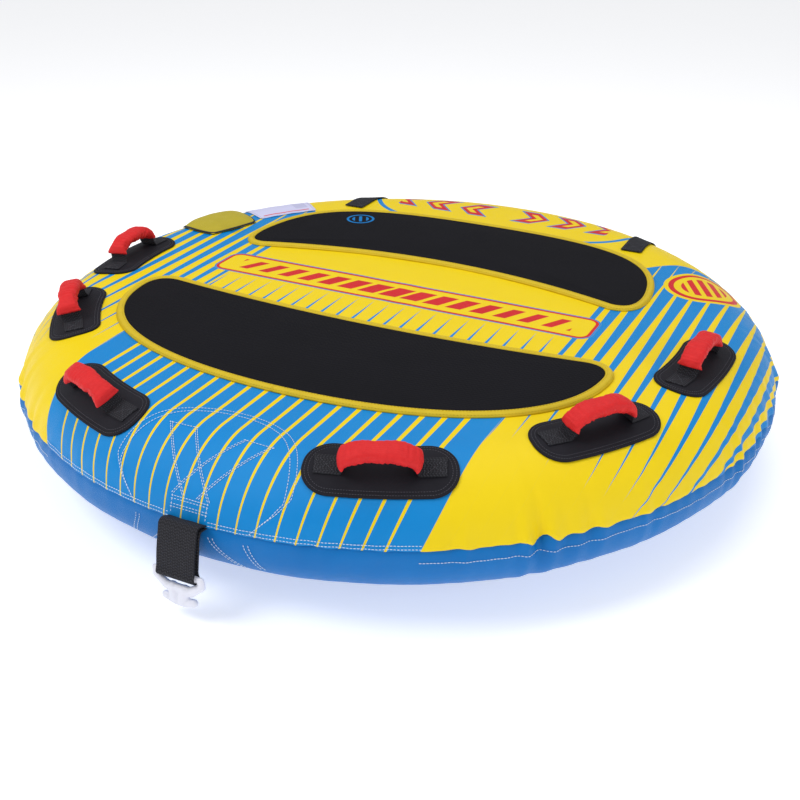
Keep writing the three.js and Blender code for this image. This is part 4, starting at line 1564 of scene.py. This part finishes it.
board = {
    "width": 0.050, "web": 0.0024, "x": 0.372, "start": 0.488, "lastTurn": math.radians(86),
    "lift": 0.0016, "loopRadius": cover["radius"] + 0.0092, "loopGap": 0.0012, "loopTop": 0.146,
    "loopBottom": 0.052, "loopWidth": 0.040, "patchInset": 0.005, "patchFrom": 0.006, "patchTo": 0.05,
}


def makeStrapEnd(side):
    b = board
    x = side * b["x"]
    edge = math.sqrt(cover["deckRadius"] ** 2 - x**2)
    flat = np.linspace(b["start"], edge, 26)[:-1]
    turns = np.linspace(0, b["lastTurn"], 46)
    radius = cover["deckRadius"] + rimReach * np.sin(turns)
    centres = [(x, y, cover["height"]) for y in flat]
    normals = [(0, 0, 1)] * len(flat)
    ys = np.sqrt(radius**2 - x**2)
    point, normal = onDeck(np.arctan2(x, -ys), cover["deckRadius"] + rimMean * turns)
    centres = np.concatenate([centres, point])
    normals = np.concatenate([normals, normal])
    centres = centres + normals * (b["lift"] + b["web"] / 2)
    along = np.gradient(centres, axis=0)
    across = unit(np.cross(along, normals))
    name = "left" if side < 0 else "right"
    size = b["width"], b["web"]
    piece = ribbon(f"boarding_end_{name}", centres, normals, across, *size, finishes["webbing"])
    settle(piece, "hull", "black_webbing", f"boarding_strap_end_{name}")
    inset = b["width"] / 2 - b["patchInset"]
    y0, y1 = b["start"] + b["patchFrom"], b["start"] + b["patchTo"]
    corners = [(x - inset, y0), (x + inset, y0), (x + inset, y1), (x - inset, y1), (x - inset, y0)]
    height = cover["height"] + b["lift"] + b["web"] + 0.0003
    pairs = list(zip(corners, corners[1:])) + [(corners[0], corners[2]), (corners[1], corners[3])]
    return [(np.array([(*p, height), (*q, height)]), False) for p, q in pairs]


def makeBoardingLoop():
    b = board
    share = np.linspace(-1, 1, 120)
    turn = math.asin(b["x"] / b["loopRadius"])
    angle = math.pi - share * turn
    sag = b["loopBottom"] + (b["loopTop"] - b["loopBottom"]) * share**2
    sag = sag + 0.0016 * np.sin(share * 19) * (1 - share**2)
    normals = outward(angle)
    centres = normals * (b["loopRadius"] + b["loopGap"])
    centres[:, 2] = sag
    along = np.gradient(centres, axis=0)
    across = unit(np.cross(normals, along))
    size = b["loopWidth"], b["web"]
    piece = ribbon("boarding_loop_webbing", centres, normals, across, *size, finishes["webbing"])
    settle(piece, "boarding_loop", "black_webbing", "boarding_strap_loop")


strapThreads = makeStrapEnd(-1) + makeStrapEnd(1)
settle(stitchPaths("strap_stitches", strapThreads, finishes["greyThread"], 0.005), "hull", "black_webbing")
makeBoardingLoop()
print("boarding strap made")


# Valve, its flap, and the label

def lathe(profile, centre, segments=64, ridges=0, ridgeDepth=0.0):
    angle = np.linspace(0, 2 * math.pi, segments, endpoint=False)
    rows = []
    for radius, height in profile:
        ripple = ridgeDepth * (0.5 + 0.5 * np.cos(ridges * angle)) if ridges else 0
        wide = radius - (ripple if radius > 0.02 else 0)
        ring = turned(angle, np.zeros_like(angle) + wide, np.full_like(angle, height))
        rows.append(ring + np.array([centre[0], centre[1], 0.0]))
    return rows


def makeValve():
    base = bladderTop
    bore = valve["bore"]
    profile = [
        (bore, -0.024), (0.0172, -0.024), (0.018, -0.0232), (0.018, 0.0004), (0.034, 0.0004), (0.034, 0.003),
        (0.0332, 0.0036), (0.0246, 0.0036), (0.024, 0.0042), (0.024, 0.0124), (0.0234, 0.013),
        (bore + 0.0006, 0.013),
        (bore, 0.0124),
    ]
    rows = lathe([(r, base + z) for r, z in profile], valvePlace)
    piece = loft("valve_base_moulding", rows, finishes["black"], ring=True)
    settle(piece, "hull", "black_plastic", "valve_base")

    cap = base + valve["capLift"]
    rim = [(0.013, -0.008), (0.014, -0.007), (0.014, 0.0), (0.0262, 0.0), (0.027, 0.0008), (0.027, 0.0032)]
    rim += [(0.0262, 0.004), (0.0225, 0.0042), (0.0215, 0.0034), (0.004, 0.0034)]
    rows = lathe([(r, cap + z) for r, z in rim], valvePlace, 144, valve["capRidges"], valve["capRidgeDepth"])
    disc = loft("cap", rows, finishes["black"])
    ridge = []
    for x in np.linspace(-valve["barHalf"], valve["barHalf"], 18):
        loop = np.linspace(0, 2 * math.pi, 16, endpoint=False)
        swell = math.sqrt(max(1 - (x / 0.0215) ** 4, 0.05))
        y = squared(np.cos(loop), 0.5) * valve["barWidth"] * swell
        z = squared(np.sin(loop), 0.5) * valve["barRise"] * swell
        section = np.column_stack([np.full(16, x), y, z + cap + valve["barLift"]])
        ridge.append(section + np.array([valvePlace[0], valvePlace[1], 0]))
    bar = loft("capBar", ridge, finishes["black"])
    settle(joined("valve_cap_moulding", [disc, bar]), "valve_cap", "black_plastic", "valve_cap")


# The flap in its own outline: a and b run from -1 to 1 along and across it.
def flapPoint(a, b, lift):
    v = valve
    a, b = np.broadcast_arrays(np.asarray(a, float), np.asarray(b, float))
    along = v["flapLength"] / 2 * a * (1 - 0.12 * b**2)
    out = v["flapWidth"] / 2 * b * (1 - 0.12 * a**2)
    point, normal = onDeck(v["angle"] + along / v["flapDistance"], v["flapDistance"] + out)
    dome = v["dome"] * (1 - a**4) * (1 - b**4)
    return point + normal * (v["flapLift"] + dome + lift)[..., None]


def makeFlap():
    v = valve
    a = np.linspace(-1, 1, 70)
    b = np.linspace(-1, 1, 52)
    wrinkle = 0.0007 * np.sin(a[:, None] * 7 + b[None] * 3) * (1 - a[:, None] ** 2) * (1 - b[None] ** 2)
    top = flapPoint(a[:, None], b[None], v["flapThickness"] + wrinkle)
    low = flapPoint(a[:, None], b[None, ::-1], wrinkle[:, ::-1])
    uvTop = np.stack(np.broadcast_arrays(a[:, None] * v["flapLength"] / 2, b[None] * v["flapWidth"] / 2), -1)
    piece = loft(
        "valve_flap_cloth", np.concatenate([top, low], 1), finishes["flap"],
        np.concatenate([uvTop, uvTop[:, ::-1]], 1),
    )
    steps = np.linspace(-1, 1, 200)
    cut = [
        float(np.linalg.norm(np.diff(line, axis=0), axis=1).sum())
        for line in (flapPoint(steps, 0, 0), flapPoint(0, steps, 0))
    ]   # over the dome, along and across
    settle(piece, "valve_flap", "flap_fabric", "valve_flap")

    # A bound edge goes all the way round.
    count = 60
    t = np.linspace(-0.985, 0.985, count)
    edgeA = np.concatenate([t, np.full(count, 0.985), t[::-1], np.full(count, -0.985)])
    edgeB = np.concatenate([np.full(count, -0.985), t, np.full(count, 0.985), t[::-1]])
    centre = evenly(flapPoint(edgeA, edgeB, np.full(4 * count, v["flapThickness"] / 2)), 240)
    for _ in range(v["bindingRounds"]):
        centre = (np.roll(centre, 1, axis=0) + np.roll(centre, -1, axis=0)) / 4 + centre / 2
    along = unit(np.roll(centre, -1, axis=0) - np.roll(centre, 1, axis=0))
    middle = centre.mean(axis=0)
    inward = middle - centre
    inward = inward - along * np.sum(inward * along, axis=1)[:, None]
    inward = unit(inward)
    up = np.cross(along, inward)
    up = up * np.sign(up[:, 2])[:, None]
    loop = np.linspace(0, 2 * math.pi, 14, endpoint=False)
    across = np.cos(loop) * v["bindingWidth"] + v["bindingIn"]
    rise = np.sin(loop) * v["bindingHeight"] + 0.0004
    sections = [c + np.outer(across, i) + np.outer(rise, n) for c, i, n in zip(centre, inward, up)]
    run = np.arange(240)[:, None] * 0.0022 + np.zeros((1, 14))
    uv = np.stack([np.broadcast_to(loop * 0.003, run.shape), run], -1)
    binding = loft("valve_flap_binding", sections, finishes["binding"], uv, ring=True)
    settle(binding, "valve_flap", "flap_fabric")


label = {
    "angle": math.radians(-126), "distance": 0.655, "half": (0.083, 0.046), "corner": 0.006, "curl": 0.0006,
    "under": 0.0009, "over": 0.0017,
}


def makeLabel():
    centreAngle = label["angle"]
    distance = label["distance"]
    a = np.linspace(-1, 1, 60)
    b = np.linspace(-1, 1, 34)
    half = label["half"]
    corner = label["corner"]
    sections = []
    uv = []
    for s in a:
        u = half[0] * s
        past = max(abs(u) - (half[0] - corner), 0)
        reach = half[1] - corner + math.sqrt(max(corner**2 - past**2, 0))
        w = b * reach
        curl = label["curl"] * np.sin(u * 60 + w * 20) ** 2
        top, topNormal = onDeck(centreAngle + u / distance, distance + w)
        sections.append(np.concatenate([
            top + topNormal * (label["over"] + curl)[:, None],
            (top + topNormal * (label["under"] + curl)[:, None])[::-1],
        ]))
        flat = np.column_stack([np.full(34, u), w])
        uv.append(np.concatenate([flat, flat[::-1]]))
    piece = loft("label_film", sections, finishes["label"], uv)
    settle(piece, "hull", "label_film", "safety_label")


makeValve()
makeFlap()
makeLabel()
print("valve and label made")


# Underside: zip and drain eyelets

zipper = {
    "radius": 0.715, "turn": math.radians(76), "width": 0.032, "lift": 0.0014,
    "tapeLift": 0.0008, "tape": 0.0014, "coilLift": 0.0016, "stitchRows": (-0.0115, -0.0085, 0.0085, 0.0115),
    "bodyHalf": 0.012, "bodyLift": 0.0012 + 0.0066, "bodySize": (0.014, 0.004),
    "pullHalf": 0.017, "pullShift": 0.010, "pullLift": 0.0012 + 0.0101, "pullSize": (0.009, 0.0018),
}
zipEnd = math.pi - 0.47 * zipper["turn"]


def bilgePath(angles, radius, lift):
    turn = bilgeTurn(radius)
    point, normal = onBilge(angles, np.full_like(angles, turn))
    along = np.gradient(point, axis=0)
    across = unit(np.cross(normal, along))
    return point + normal * lift, normal, across


def makeZip():
    z = zipper
    angles = math.pi + np.linspace(-0.5, 0.5, 160) * z["turn"]
    centres, normals, across = bilgePath(angles, z["radius"], z["lift"] + z["tapeLift"])
    tape = ribbon("zip_tape_cloth", centres, normals, across, z["width"], z["tape"], finishes["binding"])
    settle(tape, "hull", "black_webbing", "zip_tape")
    teeth, _, _ = bilgePath(angles, z["radius"], z["lift"] + z["coilLift"])
    coil = stitchPaths("zip_coil_teeth", [(teeth, False)], finishes["zip"], 0.0024, 0.0008, 0.0024, 4)
    settle(coil, "hull", "zip_coil", "zip_coil")
    rows = []
    for side in z["stitchRows"]:
        line = centres + across * side + normals * 0.0009
        rows.append((line, False))
    settle(stitchPaths("zip_stitches", rows, finishes["greyThread"], 0.005), "hull", "black_webbing")


def roundedBar(name, angles, radius, lift, wide, thick, taper, hole):
    centres, normals, across = bilgePath(angles, radius, lift)
    loop = np.linspace(0, 2 * math.pi, 20, endpoint=False)
    sections = []
    for i, (c, n, s) in enumerate(zip(centres, normals, across)):
        t = 2 * i / (len(angles) - 1) - 1
        full = math.sqrt(max(1 - abs(t) ** 6, 0.03)) * (1 - taper * t)
        y = squared(np.cos(loop), 0.5) * wide / 2 * full
        dip = 1 - hole * math.exp(-((t - 0.55) / 0.25) ** 2)
        height = thick / 2 * math.sqrt(max(1 - abs(t) ** 8, 0.1)) * dip
        z = squared(np.sin(loop), 0.5) * height
        sections.append(c + np.outer(y, s) + np.outer(z, n))
    return loft(name, sections, finishes["black"])


def makeSlider():
    z = zipper
    angles = zipEnd + np.linspace(-z["bodyHalf"], z["bodyHalf"], 26) / z["radius"]
    body = roundedBar("zip_slider_body", angles, z["radius"], z["bodyLift"], *z["bodySize"], 0.18, 0.0)
    settle(body, "zip_slider", "black_plastic", "zip_slider")
    angles = zipEnd + (z["pullShift"] + np.linspace(-z["pullHalf"], z["pullHalf"], 30)) / z["radius"]
    pull = roundedBar("zip_pull_tab", angles, z["radius"], z["pullLift"], *z["pullSize"], -0.12, 0.45)
    settle(pull, "zip_pull", "black_plastic", "zip_pull")


drains = {
    "places": {"front_left": -40, "front_right": 40, "rear_left": -130, "rear_right": 130},
    "radius": 0.640, "ring": 0.01075, "halfWidth": 0.00325, "lift": 0.0015, "halfHeight": 0.00125,
}


def makeDrains():
    d = drains
    for name, degrees in d["places"].items():
        angle = math.radians(degrees)
        point, normal = onBilge(angle, bilgeTurn(d["radius"]))
        side = np.array([math.cos(angle), math.sin(angle), 0.0])
        other = np.cross(normal, side)
        sections = []
        for turn in np.linspace(0, 2 * math.pi, 48, endpoint=False):
            radial = side * math.cos(turn) + other * math.sin(turn)
            loop = np.linspace(0, 2 * math.pi, 12, endpoint=False)
            across = d["ring"] + d["halfWidth"] * np.cos(loop)
            lift = d["lift"] + d["halfHeight"] * np.sin(loop)
            sections.append(point + np.outer(across, radial) + np.outer(lift, normal))
        eyelet = loft(f"drain_eyelet_{name}", sections, finishes["black"], ring=True)
        settle(eyelet, "hull", "black_plastic", f"drain_{name}")


makeZip()
makeSlider()
makeDrains()

# What lies inside keeps its own shape and gets its own finish.
for name, node in frame["nodes"].items():
    inside = "vinyl" if name.startswith("bladder") else "binding" if name.startswith("harness") else None
    if inside:
        for materialSlot in node.material_slots:
            materialSlot.link = "OBJECT"
            materialSlot.material = finishes[inside]
print("underside made")


# Studio

studio = {
    "azimuth": 25.75, "elevation": 27.45, "distance": 2.5887, "roll": 0.47,
    "aim": (0.0026, 0.0282), "lens": 51.52,
    "world": 0.44,
    "floorHalf": 60,
    "lights": [   # place, aim, size, power
        ("key", (-1.6, -2.2, 3.2), (0, 0, 0.2), 1.9, 66),
        ("top", (0.4, 0.6, 3.4), (0, 0, 0.2), 2.4, 40),
        ("fill", (3.4, -1.4, 1.6), (0.3, 0, 0.15), 1.6, 22),
    ],
}


def makeCamera():
    s = studio
    az, el, roll = (math.radians(s[k]) for k in ("azimuth", "elevation", "roll"))
    back = Vector((math.sin(az) * math.cos(el), -math.cos(az) * math.cos(el), math.sin(el)))
    right = Vector((math.cos(az), math.sin(az), 0))
    up = back.cross(right)
    target = right * s["aim"][0] + Vector((0, 0, s["aim"][1]))
    across = right * math.cos(roll) + up * math.sin(roll)
    above = up * math.cos(roll) - right * math.sin(roll)
    data = bpy.data.cameras.new("camera")
    data.lens = s["lens"]
    data.sensor_width = 36
    camera = bpy.data.objects.new("camera", data)
    scene.collection.objects.link(camera)
    camera.matrix_world = Matrix.Translation(target + back * s["distance"]) @ Matrix(
        (across, above, back)
    ).transposed().to_4x4()
    scene.camera = camera


def makeLight(name, place, aim, size, power):
    data = bpy.data.lights.new(name, "AREA")
    data.shape = "DISK"
    data.size = size
    data.energy = power
    lamp = bpy.data.objects.new(name, data)
    scene.collection.objects.link(lamp)
    lamp.location = place
    lamp.rotation_mode = "QUATERNION"
    lamp.rotation_quaternion = (Vector(place) - Vector(aim)).to_track_quat("Z", "Y")


def makeStudio():
    f = Finish("paleFloor", Roughness=0.9, Emission_Color=(1, 1, 1, 1), Emission_Strength=0.5)
    f.feed(Base_Color=f.mix(f.noise(3, 2) * 0.15, colours["floor"], colours["floorShade"]))
    half = studio["floorHalf"]
    floor = makePiece(
        "floor", [(-half, -half, 0), (half, -half, 0), (half, half, 0), (-half, half, 0)], [(0, 1, 2, 3)],
        f.material,
    )
    world = bpy.data.worlds.new("studioLight")
    world.use_nodes = True
    tree = world.node_tree
    soft = tree.nodes["Background"]
    soft.inputs[0].default_value = (0.95, 0.97, 1.0, 1)
    soft.inputs[1].default_value = studio["world"]
    plain = tree.nodes.new("ShaderNodeBackground")   # what the camera sees behind the floor
    plain.inputs[0].default_value = (1, 1, 1, 1)
    path = tree.nodes.new("ShaderNodeLightPath")
    choose = tree.nodes.new("ShaderNodeMixShader")
    tree.links.new(path.outputs["Is Camera Ray"], choose.inputs[0])
    tree.links.new(soft.outputs[0], choose.inputs[1])
    tree.links.new(plain.outputs[0], choose.inputs[2])
    tree.links.new(choose.outputs[0], tree.nodes["World Output"].inputs[0])
    scene.world = world
    for name, place, aim, size, power in studio["lights"]:
        makeLight(name, place, aim, size, power)
    scene.view_settings.view_transform = "Standard"


makeCamera()
makeStudio()
print("studio made")
